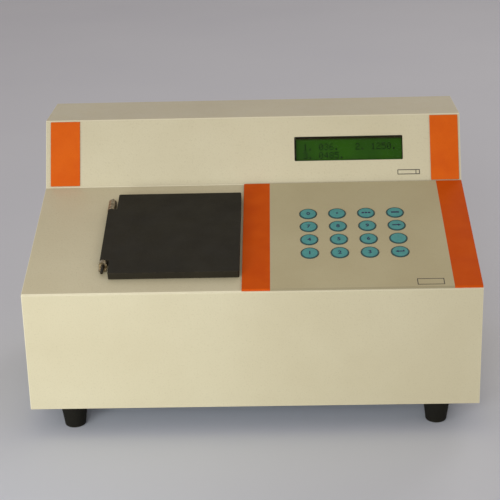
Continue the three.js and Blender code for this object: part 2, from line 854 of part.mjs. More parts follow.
function makeMotorBracket() {
  const half = motorSideHalf + motorPlateMargin;
  const upright = roundedShape(wheelY - half, wheelY + half, benchSeat, beamZ + half, motorPlateMargin);
  upright.holes.push(roundHole(wheelY, beamZ, motorBossRadius + fit, middleSides));
  const plate = pushed(upright, motorPlate, sideView).translate(motorPlateRight - motorPlate, 0, 0);
  const foot = block(
    motorRight - motorLength, motorPlateRight, wheelY - half, wheelY + half, benchSeat, benchSeat + motorPlate,
  );
  return join(plate, foot);
}

function makeWheelMotor() {
  const outline = roundedShape(
    wheelY - motorSideHalf, wheelY + motorSideHalf, beamZ - motorSideHalf, beamZ + motorSideHalf, motorCorner,
  );
  const body = pushed(outline, motorLength, sideView).translate(motorRight - motorLength, 0, 0);
  const boss = rodX(
    motorBossRadius, wheelY, beamZ, motorRight - motorBossLength, motorRight + motorBossLength, middleSides,
  );
  const bore = rodX(
    shaftRadius + fit, wheelY, beamZ, hubLeft - shaftLength - fit, motorRight + overrun, smallSides,
  );
  return cut(join(body, boss), bore);
}

function makeLensMount() {
  const upright = roundedShape(
    beamY - lensMountHalf, beamY + lensMountHalf, benchSeat, beamZ + lensMountHalf, leadIn,
  );
  upright.holes.push(roundHole(beamY, beamZ, lensRadius + fit, middleSides));
  return pushed(upright, lensMountThick, sideView).translate(lensMountX, 0, 0);
}

// Lens with two crowned faces, lying along the beam
function makeLens() {
  const middle = lensMountX + lensMountThick / 2;
  const crownSteps = [1, 0.75, 0.5, 0.25, 0];
  const crown = (share) => lensEdge / 2 + lensCrown * (1 - share * share);
  const back = crownSteps.map((share) => [share * lensRadius, crown(share)]);
  const front = [...crownSteps].reverse().map((share) => [share * lensRadius, -crown(share)]);
  return turned([...front, ...back], middleSides).rotateY(Math.PI / 2).translate(middle, beamY, beamZ);
}

function makeLampHolder() {
  const upright = roundedShape(
    beamY - lampHolderHalf, beamY + lampHolderHalf, benchSeat, beamZ + lampHolderHalf, leadIn,
  );
  upright.holes.push(roundHole(beamY, beamZ, lampRadius + fit, middleSides));
  return pushed(upright, lampHolderThick, sideView).translate(lampX, 0, 0);
}

function makeLamp() {
  const profile = [
    [0, 0],
    [lampRadius, 0],
    [lampRadius, lampBase],
    [bulbRadius, lampBase + bulbRadius / 2],
    [bulbRadius, lampBase + bulbLength - bulbRadius / 2],
    [bulbRadius / 2, lampBase + bulbLength],
    [0, lampBase + bulbLength],
  ];
  return turned(profile, middleSides).rotateY(Math.PI / 2).translate(lampX + fit, beamY, beamZ);
}

function makeDetector() {
  const outline = roundedShape(
    beamY - detectorHalf, beamY + detectorHalf, beamZ - detectorHalf, beamZ + detectorHalf, leadIn,
  );
  const body = pushed(outline, detectorLength, sideView).translate(detectorLeft, 0, 0);
  const boreEnd = detectorLeft + detectorBoreDepth;
  const bore = rodX(beamRadius, beamY, beamZ, detectorLeft - overrun, boreEnd, smallSides);
  return cut(body, bore);
}

function makeWindow() {
  const lap = windowLap;
  const pane = roundedShape(
    windowLeft - lap, windowRight + lap, windowBottom - lap, windowTop + lap, windowCorner,
  );
  return pushed(pane, windowThick).translate(0, 0, -sheet - fit - windowThick);
}

// Display module: a board with a raised bezel round the glass
function makeDisplayModule() {
  const halfX = moduleWidth / 2;
  const halfUp = moduleHeight / 2;
  const board = roundedShape(
    windowMiddle - halfX, windowMiddle + halfX,
    windowHeightMiddle - halfUp, windowHeightMiddle + halfUp, windowCorner,
  );
  for (const x of [-1, 1]) {
    for (const up of [-1, 1]) {
      board.holes.push(roundHole(
        windowMiddle + x * (halfX - moduleHoleInset),
        windowHeightMiddle + up * (halfUp - moduleHoleInset), moduleHoleRadius,
      ));
    }
  }
  const bezelBack = -moduleFace - moduleBezelThick;
  const plate = pushed(board, moduleBoard).translate(0, 0, bezelBack - moduleBoard);
  const bezel = pushed(roundedShape(
    windowMiddle - moduleBezelWidth / 2, windowMiddle + moduleBezelWidth / 2,
    windowHeightMiddle - moduleBezelHeight / 2, windowHeightMiddle + moduleBezelHeight / 2, windowCorner,
  ), moduleBezelThick + moduleBoard / 2).translate(0, 0, bezelBack - moduleBoard / 2);
  const view = block(
    windowLeft - moduleViewMargin, windowRight + moduleViewMargin,
    windowBottom - moduleViewMargin, windowTop + moduleViewMargin,
    -moduleFace - moduleViewDepth, -moduleFace + overrun,
  );
  return cut(join(plate, bezel), view);
}

function makeStripe(left, right) {
  return block(left, right, stripeBottom, stripeTop, fit, fit + stripeThick);
}

// Keys in rows and columns, counted from the top left
function keyPlaces() {
  const places = {};
  for (let row = 0; row < keyRows; row += 1) {
    for (let column = 0; column < keyColumns; column += 1) {
      const x = keysMiddle + (column - (keyColumns - 1) / 2) * keyPitchX;
      const up = deckLength - keyBackInset - row * keyPitchUp;
      places[`key_row${row + 1}_col${column + 1}`] = [x, up];
    }
  }
  return places;
}

function makeMembrane() {
  return block(padLeft, padRight, padFront, padBack, fit, fit + membraneThick);
}

function makeOverlay() {
  const film = roundedShape(padLeft, padRight, padFront, padBack, keyEdge);
  for (const [x, up] of Object.values(keyPlaces())) {
    film.holes.push(roundHole(x, up, keyRadius + keyHoleGap, middleSides));
  }
  return pushed(film, filmThick).translate(0, 0, filmLift);
}

function makeKey() {
  return turned([
    [0, 0],
    [keyRadius, 0],
    [keyRadius, keyHeight - keyCrown - keyEdge / 2],
    [keyRadius - keyEdge, keyHeight - keyCrown],
    [0, keyHeight],
  ], middleSides);
}

function makeSink(left, right, y) {
  const sink = block(
    left, right, y - sinkDepth / 2, y + sinkDepth / 2, boardTop - boardThick / 2, boardTop + sinkHeight,
  );
  const slots = [];
  const pitch = (right - left) / sinkSlotCount;
  for (let i = 0; i < sinkSlotCount; i += 1) {
    const middle = left + (i + 1 / 2) * pitch;
    slots.push(block(
      middle - sinkSlot / 2, middle + sinkSlot / 2,
      y + sinkDepth / 2 - sinkSlotDepth, y + sinkDepth / 2 + overrun, boardTop, boardTop + sinkHeight + overrun,
    ));
  }
  return cut(sink, ...slots);
}

function makeMainBoard() {
  const outline = roundedShape(boardLeft, boardRight, boardFront, boardBack, leadIn);
  for (const [x, y] of boardCorners()) {
    outline.holes.push(roundHole(x, y, sideScrewRadius));
  }
  const plate = pushed(outline, boardThick).translate(0, 0, boardSeat);
  const [frontRow, middleRow, backRow] = boardRowShares.map((share) => (
    boardFront + share * (boardBack - boardFront)
  ));
  const boardWidth = boardRight - boardLeft;
  const middleX = (boardLeft + boardRight) / 2;
  const under = boardTop - boardThick / 2;
  const chipHalf = (chipShare * boardWidth) / 2;
  const chips = [-1, 1].map((side) => {
    const x = middleX + side * (chipHalf + standoffRadius);
    return block(x - chipHalf, x + chipHalf, middleRow - chipWidth / 2, middleRow + chipWidth / 2,
      under, boardTop + chipThick);
  });
  const capacitors = capacitorShares.map((share) => rodZ(
    capacitorRadius, boardLeft + share * boardWidth, backRow, under, boardTop + capacitorHeight, smallSides,
  ));
  const headerHalf = (headerShare * boardWidth) / 2;
  const header = block(
    middleX - headerHalf, middleX + headerHalf, frontRow - headerWidth / 2, frontRow + headerWidth / 2,
    under, boardTop + headerHeight,
  );
  const [sinkLeft, sinkRight] = sinkShares.map((share) => boardLeft + share * boardWidth);
  const sink = makeSink(sinkLeft, sinkRight, backRow);
  return join(plate, ...chips, ...capacitors, header, sink);
}

// Laminated core with its winding through the two windows
function makeTransformer() {
  const half = coreWidth / 2;
  const core = block(
    transformerX - half, transformerX + half, transformerY - coreDepth / 2, transformerY + coreDepth / 2,
    baseSeat, baseSeat + coreHeight,
  );
  const middleZ = baseSeat + coreHeight / 2;
  const coilShape = roundedShape(
    transformerX - coilWidth / 2, transformerX + coilWidth / 2,
    transformerY - coilDepth / 2, transformerY + coilDepth / 2, coilCorner,
  );
  const coil = pushed(coilShape, coilHeight).translate(0, 0, middleZ - coilHeight / 2);
  const foot = block(
    transformerX - half - coilCorner, transformerX + half + coilCorner,
    transformerY - coreDepth / 2, transformerY + coreDepth / 2, baseSeat, baseSeat + baseThick,
  );
  return join(core, coil, foot);
}

// Inlet: flange outside the panel, body inside it, and a recess with three flat pins
function makeMainsInlet() {
  const middle = mainsRowHeight;
  const halfW = inletFlangeWidth / 2;
  const halfH = inletFlangeHeight / 2;
  const flangeShape = roundedShape(
    inletX - halfW, inletX + halfW, middle - halfH, middle + halfH, inletFlangeCorner,
  );
  for (const side of [-1, 1]) {
    flangeShape.holes.push(roundHole(inletX + (side * inletHoleSpacing) / 2, middle, inletHoleRadius));
  }
  const mouth = panelOuter + fit + inletFlangeThick;
  const flange = pushed(flangeShape, inletFlangeThick, rearView).translate(0, mouth, 0);
  const bodyShape = roundedShape(
    inletX - inletBodyWidth / 2, inletX + inletBodyWidth / 2,
    middle - inletBodyHeight / 2, middle + inletBodyHeight / 2, sheet,
  );
  const body = pushed(bodyShape, inletBodyDepth + inletFlangeThick / 2, rearView);
  body.translate(0, mouth - inletFlangeThick / 2, 0);
  const left = inletX - recessWidth / 2;
  const right = inletX + recessWidth / 2;
  const low = middle - recessHeight / 2;
  const high = middle + recessHeight / 2;
  const recess = pushed(shapeOf([
    [left, low],
    [right, low],
    [right, high - recessChamfer],
    [right - recessChamfer, high],
    [left + recessChamfer, high],
    [left, high - recessChamfer],
  ]), recessDepth + overrun, rearView).translate(0, mouth + overrun, 0);
  const floorY = mouth - recessDepth;
  const pins = [-1, 0, 1].map((place) => {
    const x = inletX + place * pinSpacing;
    const z = middle + (place === 0 ? pinRise : -pinRise);
    return block(x - pinBladeWidth / 2, x + pinBladeWidth / 2, floorY - overrun / 2, floorY + pinBladeLength,
      z - pinBladeHeight / 2, z + pinBladeHeight / 2);
  });
  const shell = cut(join(flange, body), recess);
  return join(shell, ...pins);
}

function makeFuseHolder() {
  const middle = mainsRowHeight;
  const flange = rodY(
    fuseFlangeRadius, fuseX, middle, panelOuter + fit, panelOuter + fuseFlangeThick, middleSides,
  );
  const body = rodY(
    fuseBodyRadius, fuseX, middle, panelOuter - fuseBodyDepth, panelOuter + fuseFlangeThick / 2, middleSides,
  );
  const bore = rodY(
    fuseBoreRadius, fuseX, middle, capBack - fuseStemLength - fit, panelOuter + overrun, smallSides,
  );
  return cut(join(flange, body), bore);
}

// Cap with shallow flutes round it, a driver slot across its end and a stem into the holder
function makeFuseCap() {
  const steps = 4 * fuseFluteCount;
  const outline = [];
  for (let i = 0; i < steps; i += 1) {
    const angle = (i * 2 * Math.PI) / steps;
    const radius = fuseCapRadius - (i % 4 < 2 ? 0 : fuseFlute);
    outline.push([fuseX + radius * Math.cos(angle), mainsRowHeight + radius * Math.sin(angle)]);
  }
  const head = pushed(shapeOf(outline), fuseCapLength, rearView).translate(0, rearReach, 0);
  const stem = rodY(
    fuseStemRadius, fuseX, mainsRowHeight, capBack - fuseStemLength, capBack + fuseFlute, smallSides,
  );
  const slot = block(
    fuseX - fuseCapRadius - overrun, fuseX + fuseCapRadius + overrun,
    rearReach - fuseSlotDepth, rearReach + overrun,
    mainsRowHeight - fuseSlotWidth / 2, mainsRowHeight + fuseSlotWidth / 2,
  );
  return cut(join(head, stem), slot);
}

function makeSwitchBody() {
  const middle = mainsRowHeight;
  const flange = pushed(roundedShape(
    switchX - switchFlangeWidth / 2, switchX + switchFlangeWidth / 2,
    middle - switchFlangeHeight / 2, middle + switchFlangeHeight / 2, sheet,
  ), switchFlangeThick, rearView).translate(0, panelOuter + fit + switchFlangeThick, 0);
  const body = pushed(roundedShape(
    switchX - switchBodyWidth / 2, switchX + switchBodyWidth / 2,
    middle - switchBodyHeight / 2, middle + switchBodyHeight / 2, sheet / 2,
  ), switchBodyDepth + switchFlangeThick / 2, rearView);
  body.translate(0, panelOuter + fit + switchFlangeThick / 2, 0);
  const pocket = block(
    switchX - switchPocketWidthHalf, switchX + switchPocketWidthHalf,
    panelOuter - switchPocketDepth, panelOuter + overrun,
    middle - switchPocketHalf, middle + switchPocketHalf,
  );
  return cut(join(flange, body), pocket);
}

// Rocker about its pivot, drawn level: two faces meet in a shallow valley, and the ends are round
function makeRocker() {
  const tip = Math.asin(rockerReach / rockerHalf);
  const belly = Math.asin(rockerBelly / rockerHalf);
  const arc = (from, to) => {
    const points = [];
    for (let step = 0; step <= cornerSteps; step += 1) {
      const angle = from + ((to - from) * step) / cornerSteps;
      points.push([rockerHalf * Math.sin(angle), rockerHalf * Math.cos(angle)]);
    }
    return points;
  };
  const upper = arc(tip, -belly);
  const lower = upper.map(([y, z]) => [y, -z]).reverse();
  const outline = shapeOf([...upper, ...lower, [rockerReach - rockerSag, 0]]);
  const halfThick = switchPocketWidthHalf - rockerGap;
  return pushed(outline, 2 * halfThick, sideView).translate(-halfThick, 0, 0);
}

// Finishes seen in the photograph, and plain ones for what is inside
function finish(color, roughness, metalness = 0) {
  return new THREE.MeshStandardMaterial({ color, roughness, metalness });
}

const finishes = {
  cream: () => finish(0xd9d0b2, 0.6),
  film: () => finish(0xb3a985, 0.45),
  orange: () => finish(0xd2641e, 0.4),
  teal: () => finish(0x4b9696, 0.4),
  black: () => finish(0x2b2822, 0.5),
  rubber: () => finish(0x1c1912, 0.85),
  nickel: () => finish(0xb9b3a2, 0.3, 1),
  zincSheet: () => finish(0xa9abac, 0.4, 0.9),
  aluminium: () => finish(0xb4b6b8, 0.35, 0.9),
  pane: () => finish(0x4f6b3a, 0.15),
  green: () => finish(0x2f6a2c, 0.5),
  glass: () => finish(0xd8e2e4, 0.05),
  foam: () => finish(0x3a3a3a, 0.95),
  copper: () => finish(0x9a6a3c, 0.45, 0.6),
  moulded: () => finish(0x202124, 0.5),
};

function addPiece(parent, name, geometry, finishName) {
  const mesh = new THREE.Mesh(geometryOf(solid(geometry)), finishes[finishName]());
  mesh.name = name;
  parent.add(mesh);
  return mesh;
}

function groupAt(frame) {
  const group = new THREE.Group();
  frame.decompose(group.position, group.quaternion, group.scale);
  return group;
}

function makeCase() {
  const group = new THREE.Group();
  addPiece(group, 'cover', makeCover(), 'cream');
  addPiece(group, 'base_plate', makeBasePlate(), 'zincSheet');
  addPiece(group, 'rear_panel', makeRearPanel(), 'cream');
  for (const [name, [x, y]] of Object.entries(footPlaces())) {
    addPiece(group, name, makeFoot(), 'rubber').position.set(x, y, 0);
  }
  return group;
}

function makeDeckPieces() {
  const group = groupAt(deckFrame);
  addPiece(group, 'lid', makeLid(), 'black');
  addPiece(group, 'lid_seal', makeLidSeal(), 'foam');
  addPiece(group, 'hinge_bracket_front', makeBracket(frontEarEnds, frontFootEnds), 'nickel');
  addPiece(group, 'hinge_bracket_rear', makeBracket(rearEarEnds, rearEarEnds), 'nickel');
  addPiece(group, 'hinge_pin', makeHingePin(), 'nickel');
  addPiece(group, 'keypad_membrane', makeMembrane(), 'moulded');
  addPiece(group, 'keypad_overlay', makeOverlay(), 'film');
  for (const [name, [x, up]] of Object.entries(keyPlaces())) {
    addPiece(group, name, makeKey(), 'teal').position.set(x, up, keyLift);
  }
  return group;
}

function makeFacePieces() {
  const group = groupAt(faceFrame);
  addPiece(group, 'display_window', makeWindow(), 'pane');
  addPiece(group, 'display_module', makeDisplayModule(), 'green');
  const leftStripe = leftStripeInset - halfWidth;
  const rightStripe = halfWidth - rightStripeInset;
  const stripes = {
    display_stripe_left: [leftStripe, leftStripe + leftStripeWidth],
    display_stripe_right: [rightStripe - rightStripeWidth, rightStripe],
  };
  for (const [name, ends] of Object.entries(stripes)) {
    addPiece(group, name, makeStripe(...ends), 'orange');
  }
  return group;
}

function makeOptics() {
  const group = new THREE.Group();
  addPiece(group, 'chamber_well', makeChamberWell(), 'black');
  addPiece(group, 'cell_holder', makeCellHolder(), 'black');
  addPiece(group, 'optical_bench', makeOpticalBench(), 'aluminium');
  addPiece(group, 'filter_wheel', makeFilterWheel(), 'aluminium');
  filterPlaces().forEach(([y, z], i) => {
    addPiece(group, `filter_${i + 1}`, makeFilter(y, z), 'glass');
  });
  addPiece(group, 'motor_bracket', makeMotorBracket(), 'zincSheet');
  addPiece(group, 'wheel_motor', makeWheelMotor(), 'moulded');
  addPiece(group, 'lens_mount', makeLensMount(), 'black');
  addPiece(group, 'condenser_lens', makeLens(), 'glass');
  addPiece(group, 'lamp_holder', makeLampHolder(), 'aluminium');
  addPiece(group, 'lamp', makeLamp(), 'glass');
  addPiece(group, 'detector_housing', makeDetector(), 'black');
  return group;
}

function makeElectrics() {
  const group = new THREE.Group();
  addPiece(group, 'main_board', makeMainBoard(), 'green');
  addPiece(group, 'transformer', makeTransformer(), 'copper');
  addPiece(group, 'mains_inlet', makeMainsInlet(), 'moulded');
  addPiece(group, 'fuse_holder', makeFuseHolder(), 'moulded');
  addPiece(group, 'fuse_cap', makeFuseCap(), 'moulded');
  addPiece(group, 'power_switch', makeSwitchBody(), 'moulded');
  const rocker = addPiece(group, 'power_rocker', makeRocker(), 'moulded');
  rocker.position.set(switchX, panelOuter, mainsRowHeight);
  rocker.rotation.x = -rockerTiltDegrees * radian;
  return group;
}

const colorimeter = new THREE.Group();
colorimeter.position.set(0, -rearReach / 2, footHeight);
colorimeter.add(makeCase(), makeDeckPieces(), makeFacePieces(), makeOptics(), makeElectrics());

export default colorimeter;
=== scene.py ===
# Bench colorimeter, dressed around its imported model: a folded and powder coated case, a hinged lid
# over the sample well, a printed key pad, a green display and the mains parts at the back.
import json
from math import asin, atan2, cos, degrees, hypot, inf, pi, radians, sin, tan

import bmesh
import bpy
from mathutils import Matrix, Vector

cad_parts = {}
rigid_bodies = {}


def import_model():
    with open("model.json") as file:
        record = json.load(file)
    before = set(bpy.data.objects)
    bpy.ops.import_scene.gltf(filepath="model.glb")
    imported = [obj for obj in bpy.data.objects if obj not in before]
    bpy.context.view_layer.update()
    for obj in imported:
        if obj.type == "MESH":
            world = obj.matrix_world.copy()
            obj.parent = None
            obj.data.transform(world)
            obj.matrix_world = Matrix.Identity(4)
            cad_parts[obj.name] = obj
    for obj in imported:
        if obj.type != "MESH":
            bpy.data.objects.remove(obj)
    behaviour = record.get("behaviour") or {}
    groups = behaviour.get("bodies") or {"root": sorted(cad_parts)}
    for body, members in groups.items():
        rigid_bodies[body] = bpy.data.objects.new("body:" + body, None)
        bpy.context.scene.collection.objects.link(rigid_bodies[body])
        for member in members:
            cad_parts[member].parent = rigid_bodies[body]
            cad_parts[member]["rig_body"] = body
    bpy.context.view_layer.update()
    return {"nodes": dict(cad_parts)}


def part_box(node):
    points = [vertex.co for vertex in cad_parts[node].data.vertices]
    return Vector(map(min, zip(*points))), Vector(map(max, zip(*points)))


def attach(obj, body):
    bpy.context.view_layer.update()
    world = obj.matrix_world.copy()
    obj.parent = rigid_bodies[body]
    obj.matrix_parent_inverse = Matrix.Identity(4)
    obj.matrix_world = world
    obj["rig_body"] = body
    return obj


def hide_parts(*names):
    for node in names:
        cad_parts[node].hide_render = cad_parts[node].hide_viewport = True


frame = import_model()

scene = bpy.context.scene
scene.view_settings.view_transform = "Standard"
mm = 0.001  # every size below is in millimetres, and the frame is in metres
weldGap = 0.0005
sharpAbove = 40  # degrees between faces that still shade as one
print("frame: %d nodes" % len(frame["nodes"]))


# Case seen from its right side: front panel, sloped deck, leaning face and top
caseLine = {
    "frontHeight": 82.5, "deckLength": 123.7, "deckSlope": 17, "faceLength": 49.5,
    "faceLean": 25.6, "topDepth": 53.2, "sheet": 1.2, "bendRadius": 1.6, "bendSteps": 10,
}
sheet = caseLine["sheet"]
deckSlope = radians(caseLine["deckSlope"])
faceTilt = radians(90 - caseLine["faceLean"])
deckRun = caseLine["deckLength"] * cos(deckSlope)
deckTop = caseLine["frontHeight"] + caseLine["deckLength"] * sin(deckSlope)
faceEnd = deckRun + caseLine["faceLength"] * cos(faceTilt)
caseDepth = faceEnd + caseLine["topDepth"]
caseHeight = deckTop + caseLine["faceLength"] * sin(faceTilt)
caseCorners = [Vector((0, 0)), Vector((0, caseLine["frontHeight"])), Vector((deckRun, deckTop))]
caseCorners += [Vector((faceEnd, caseHeight)), Vector((caseDepth, caseHeight))]
coverLow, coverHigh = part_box("cover")
halfWidth = (coverHigh.x - coverLow.x) / 2 / mm

# Places of the three frames that pieces are drawn in: X to the right, Y up the slope, Z out of the sheet
casePlace = Matrix.Translation((0, coverLow.y, coverLow.z)) @ Matrix.Scale(mm, 4)
deckFoot = Matrix.Translation((0, 0, caseLine["frontHeight"]))
faceFoot = Matrix.Translation((0, deckRun, deckTop))
deckPlace = casePlace @ deckFoot @ Matrix.Rotation(deckSlope, 4, "X")
facePlace = casePlace @ faceFoot @ Matrix.Rotation(faceTilt, 4, "X")

# For outlines in Y and Z pushed along X, for outlines in X and Z pushed along -Y, and from Z to Y
sideView = Matrix(((0, 0, 1, 0), (1, 0, 0, 0), (0, 1, 0, 0), (0, 0, 0, 1)))
rearView = Matrix(((1, 0, 0, 0), (0, 0, -1, 0), (0, 1, 0, 0), (0, 0, 0, 1)))
toBack = Matrix.Rotation(-pi / 2, 4, "X")


# Box of a node in one of those frames, in millimetres, or of its part in front of a plane across Y
def boxIn(nodeName, place, plane=inf):
    back = place.inverted()
    points = [back @ vertex.co for vertex in frame["nodes"][nodeName].data.vertices]
    points = [point for point in points if point.y < plane]
    low = Vector([min(point[axis] for point in points) for axis in range(3)])
    high = Vector([max(point[axis] for point in points) for axis in range(3)])
    return low, high


# Shape tools

def newObject(name, data):
    made = bpy.data.objects.new(name, data)
    scene.collection.objects.link(made)
    return made


def meshOf(shape, name="loose"):
    mesh = bpy.data.meshes.new(name)
    shape.to_mesh(mesh)
    shape.free()
    return mesh


def prism(outline, low, high, view=None):
    shape = bmesh.new()
    bottom = [shape.verts.new((x, y, low)) for x, y in outline]
    top = [shape.verts.new((x, y, high)) for x, y in outline]
    shape.faces.new(list(reversed(bottom)))
    shape.faces.new(top)
    for i in range(len(outline)):
        j = (i + 1) % len(outline)
        shape.faces.new((bottom[i], bottom[j], top[j], top[i]))
    if view:
        shape.transform(view)
    bmesh.ops.recalc_face_normals(shape, faces=shape.faces)
    return shape


def turned(profile, sides):
    shape = bmesh.new()
    rings = []
    for radius, height in profile:
        count = sides if radius > 0 else 1
        turns = [2 * pi * i / count for i in range(count)]
        rings.append([shape.verts.new((radius * cos(a), radius * sin(a), height)) for a in turns])
    for lower, upper in zip(rings, rings[1:]):
        for i in range(sides):
            around = ((lower, i), (lower, i + 1), (upper, i + 1), (upper, i))
            corners = [ring[step % len(ring)] for ring, step in around]
            shape.faces.new(list(dict.fromkeys(corners)))
    bmesh.ops.recalc_face_normals(shape, faces=shape.faces)
    return shape


def arc(x, y, radius, start, end, steps):
    angles = [radians(start + (end - start) * i / steps) for i in range(steps + 1)]
    return [(x + radius * cos(a), y + radius * sin(a)) for a in angles]


def circle(x, y, radius, sides=48):
    return arc(x, y, radius, 0, 360, sides)[:-1]


def roundedBox(left, right, low, high, radius, steps=6):
    return (
        arc(right - radius, low + radius, radius, -90, 0, steps)
        + arc(right - radius, high - radius, radius, 0, 90, steps)
        + arc(left + radius, high - radius, radius, 90, 180, steps)
        + arc(left + radius, low + radius, radius, 180, 270, steps)
    )


def cuboid(left, right, front, back, low, high):
    return prism([(left, front), (right, front), (right, back), (left, back)], low, high)


def moved(shape, x=0, y=0, z=0, turn=None):
    if turn:
        shape.transform(turn)
    shape.transform(Matrix.Translation((x, y, z)))
    return shape


def merged(shapes):
    whole = bmesh.new()
    for shape in shapes:
        mesh = meshOf(shape)
        whole.from_mesh(mesh)
        bpy.data.meshes.remove(mesh)
    return whole


def printed(shape, marks, materialIndex):
    for face in marks.faces:
        face.material_index = materialIndex
    return merged([shape, marks])


def combined(shape, operation, tools):
    loose = [newObject("loose", meshOf(each)) for each in [shape, *tools]]
    for tool in loose[1:]:
        step = loose[0].modifiers.new("combine", "BOOLEAN")
        step.operation = operation
        step.solver = "EXACT"
        step.object = tool
    graph = bpy.context.evaluated_depsgraph_get()
    result = bmesh.new()
    result.from_mesh(loose[0].evaluated_get(graph).data)
    for each in loose:
        bpy.data.meshes.remove(each.data)
    bmesh.ops.remove_doubles(result, verts=result.verts, dist=weldGap)
    return result


# Rounds the edges that turn sharper than an angle, or only those of them that a test picks
def roundEdges(shape, width, segments=3, sharperThan=38, picks=None):
    limit = radians(sharperThan)
    edges = [edge for edge in shape.edges if edge.is_manifold and edge.calc_face_angle(0) > limit]
    if picks:
        edges = [edge for edge in edges if picks(edge)]
    bmesh.ops.bevel(
        shape, geom=edges, offset=width, segments=segments, profile=0.5, affect="EDGES", clamp_overlap=True,
    )
    return shape


def addPiece(name, shape, materials, node=None, place=casePlace, body="case"):
    bmesh.ops.dissolve_degenerate(shape, dist=weldGap, edges=shape.edges)
    mesh = meshOf(shape, name)
    mesh.transform(place)
    for material in materials:
        mesh.materials.append(material)
    mesh.polygons.foreach_set("use_smooth", [True] * len(mesh.polygons))
    mesh.set_sharp_from_angle(angle=radians(sharpAbove))
    piece = newObject(name, mesh)
    shading = piece.modifiers.new("evenShading", "WEIGHTED_NORMAL")
    shading.keep_sharp = True
    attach(piece, body)
    if node:
        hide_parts(node)


# A node's own solid with its edges rounded; facePick gives a face's material by its middle, in millimetres
def dressedCopy(nodeName, pieceName, width, materials, place=casePlace, facePick=None):
    node = frame["nodes"][nodeName]
    shape = bmesh.new()
    shape.from_mesh(node.data)
    shape.transform(place.inverted())
    bmesh.ops.remove_doubles(shape, verts=shape.verts, dist=4 * weldGap)
    bmesh.ops.dissolve_limit(shape, angle_limit=radians(1), verts=shape.verts, edges=shape.edges)
    roundEdges(shape, width, 2)
    for face in shape.faces:
        face.material_index = facePick(face.calc_center_median()) if facePick else 0
    addPiece(pieceName, shape, materials, nodeName, place, node["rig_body"])


# Material tools

# Where in the noise, or in what a node gives, each layer starts and is full
fadeEnds = {
    "patch": (0.35, 0.65), "speck": (0.55, 0.75), "gap": (0.45, 0.6), "gloss": (0.3, 0.7),
    "edge": (0.99, 0.86), "crease": (0.9, 0.35), "bend": (0.995, 0.96), "curl": (0.99, 0.9),
}


def screenColour(red, green, blue):
    shares = [value / 255 for value in (red, green, blue)]
    return tuple(s / 12.92 if s < 0.04045 else ((s + 0.055) / 1.055) ** 2.4 for s in shares) + (1,)


def addNode(tree, kind, sockets=None, **settings):
    made = tree.nodes.new("ShaderNode" + kind)
    for name, value in settings.items():
        setattr(made, name, value)
    for key, value in (sockets or {}).items():
        if isinstance(value, bpy.types.NodeSocket):
            tree.links.new(value, made.inputs[key])
        else:
            made.inputs[key].default_value = value
    return made


def newMaterial(name):
    material = bpy.data.materials.new(name)
    material.use_nodes = True
    tree = material.node_tree
    where = addNode(tree, "TexCoord").outputs["Object"]
    return material, tree, tree.nodes["Principled BSDF"], where


def speckle(tree, where, size, detail):
    sockets = {"Vector": where, "Scale": 1 / (size * mm), "Detail": detail, "Roughness": 0.55}
    return addNode(tree, "TexNoise", sockets).outputs["Fac"]


def spread(tree, value, low, high, toLow=0, toHigh=1):
    sockets = {"Value": value, "From Min": low, "From Max": high, "To Min": toLow, "To Max": toHigh}
    return addNode(tree, "MapRange", sockets).outputs["Result"]


# Each end is a socket or a colour as a screen shows it
def mixed(tree, share, *ends):
    first, second = [screenColour(*end) if isinstance(end, tuple) else end for end in ends]
    return addNode(tree, "Mix", {0: share, 6: first, 7: second}, data_type="RGBA").outputs[2]


def times(tree, first, second):
    return addNode(tree, "Math", {0: first, 1: second}, operation="MULTIPLY").outputs[0]


def largest(tree, values):
    top = values[0]
    for value in values[1:]:
        top = addNode(tree, "Math", {0: top, 1: value}, operation="MAXIMUM").outputs[0]
    return top


def facing(tree):
    return addNode(tree, "NewGeometry").outputs["Normal"]


def along(tree, first, second):
    both = {0: first, 1: second}
    return addNode(tree, "VectorMath", both, operation="DOT_PRODUCT").outputs["Value"]


def recolour(tree, shader, share, colour):
    base = shader.inputs["Base Color"]
    tree.links.new(mixed(tree, share, base.links[0].from_socket, colour), base)


# 1 at edges that stand out or lie in, 0 on flat faces
def edgeLines(tree, width):
    rounded = addNode(tree, "Bevel", {"Radius": width * mm}, samples=4).outputs["Normal"]
    return spread(tree, along(tree, rounded, facing(tree)), *fadeEnds["edge"])


# 1 where ambient occlusion finds a crease or hollow, 0 in the open: the mask of painted shade and dust
def creases(tree, reach):
    openness = addNode(tree, "AmbientOcclusion", {"Distance": reach * mm}, samples=4).outputs["AO"]
    return spread(tree, openness, *fadeEnds["crease"])
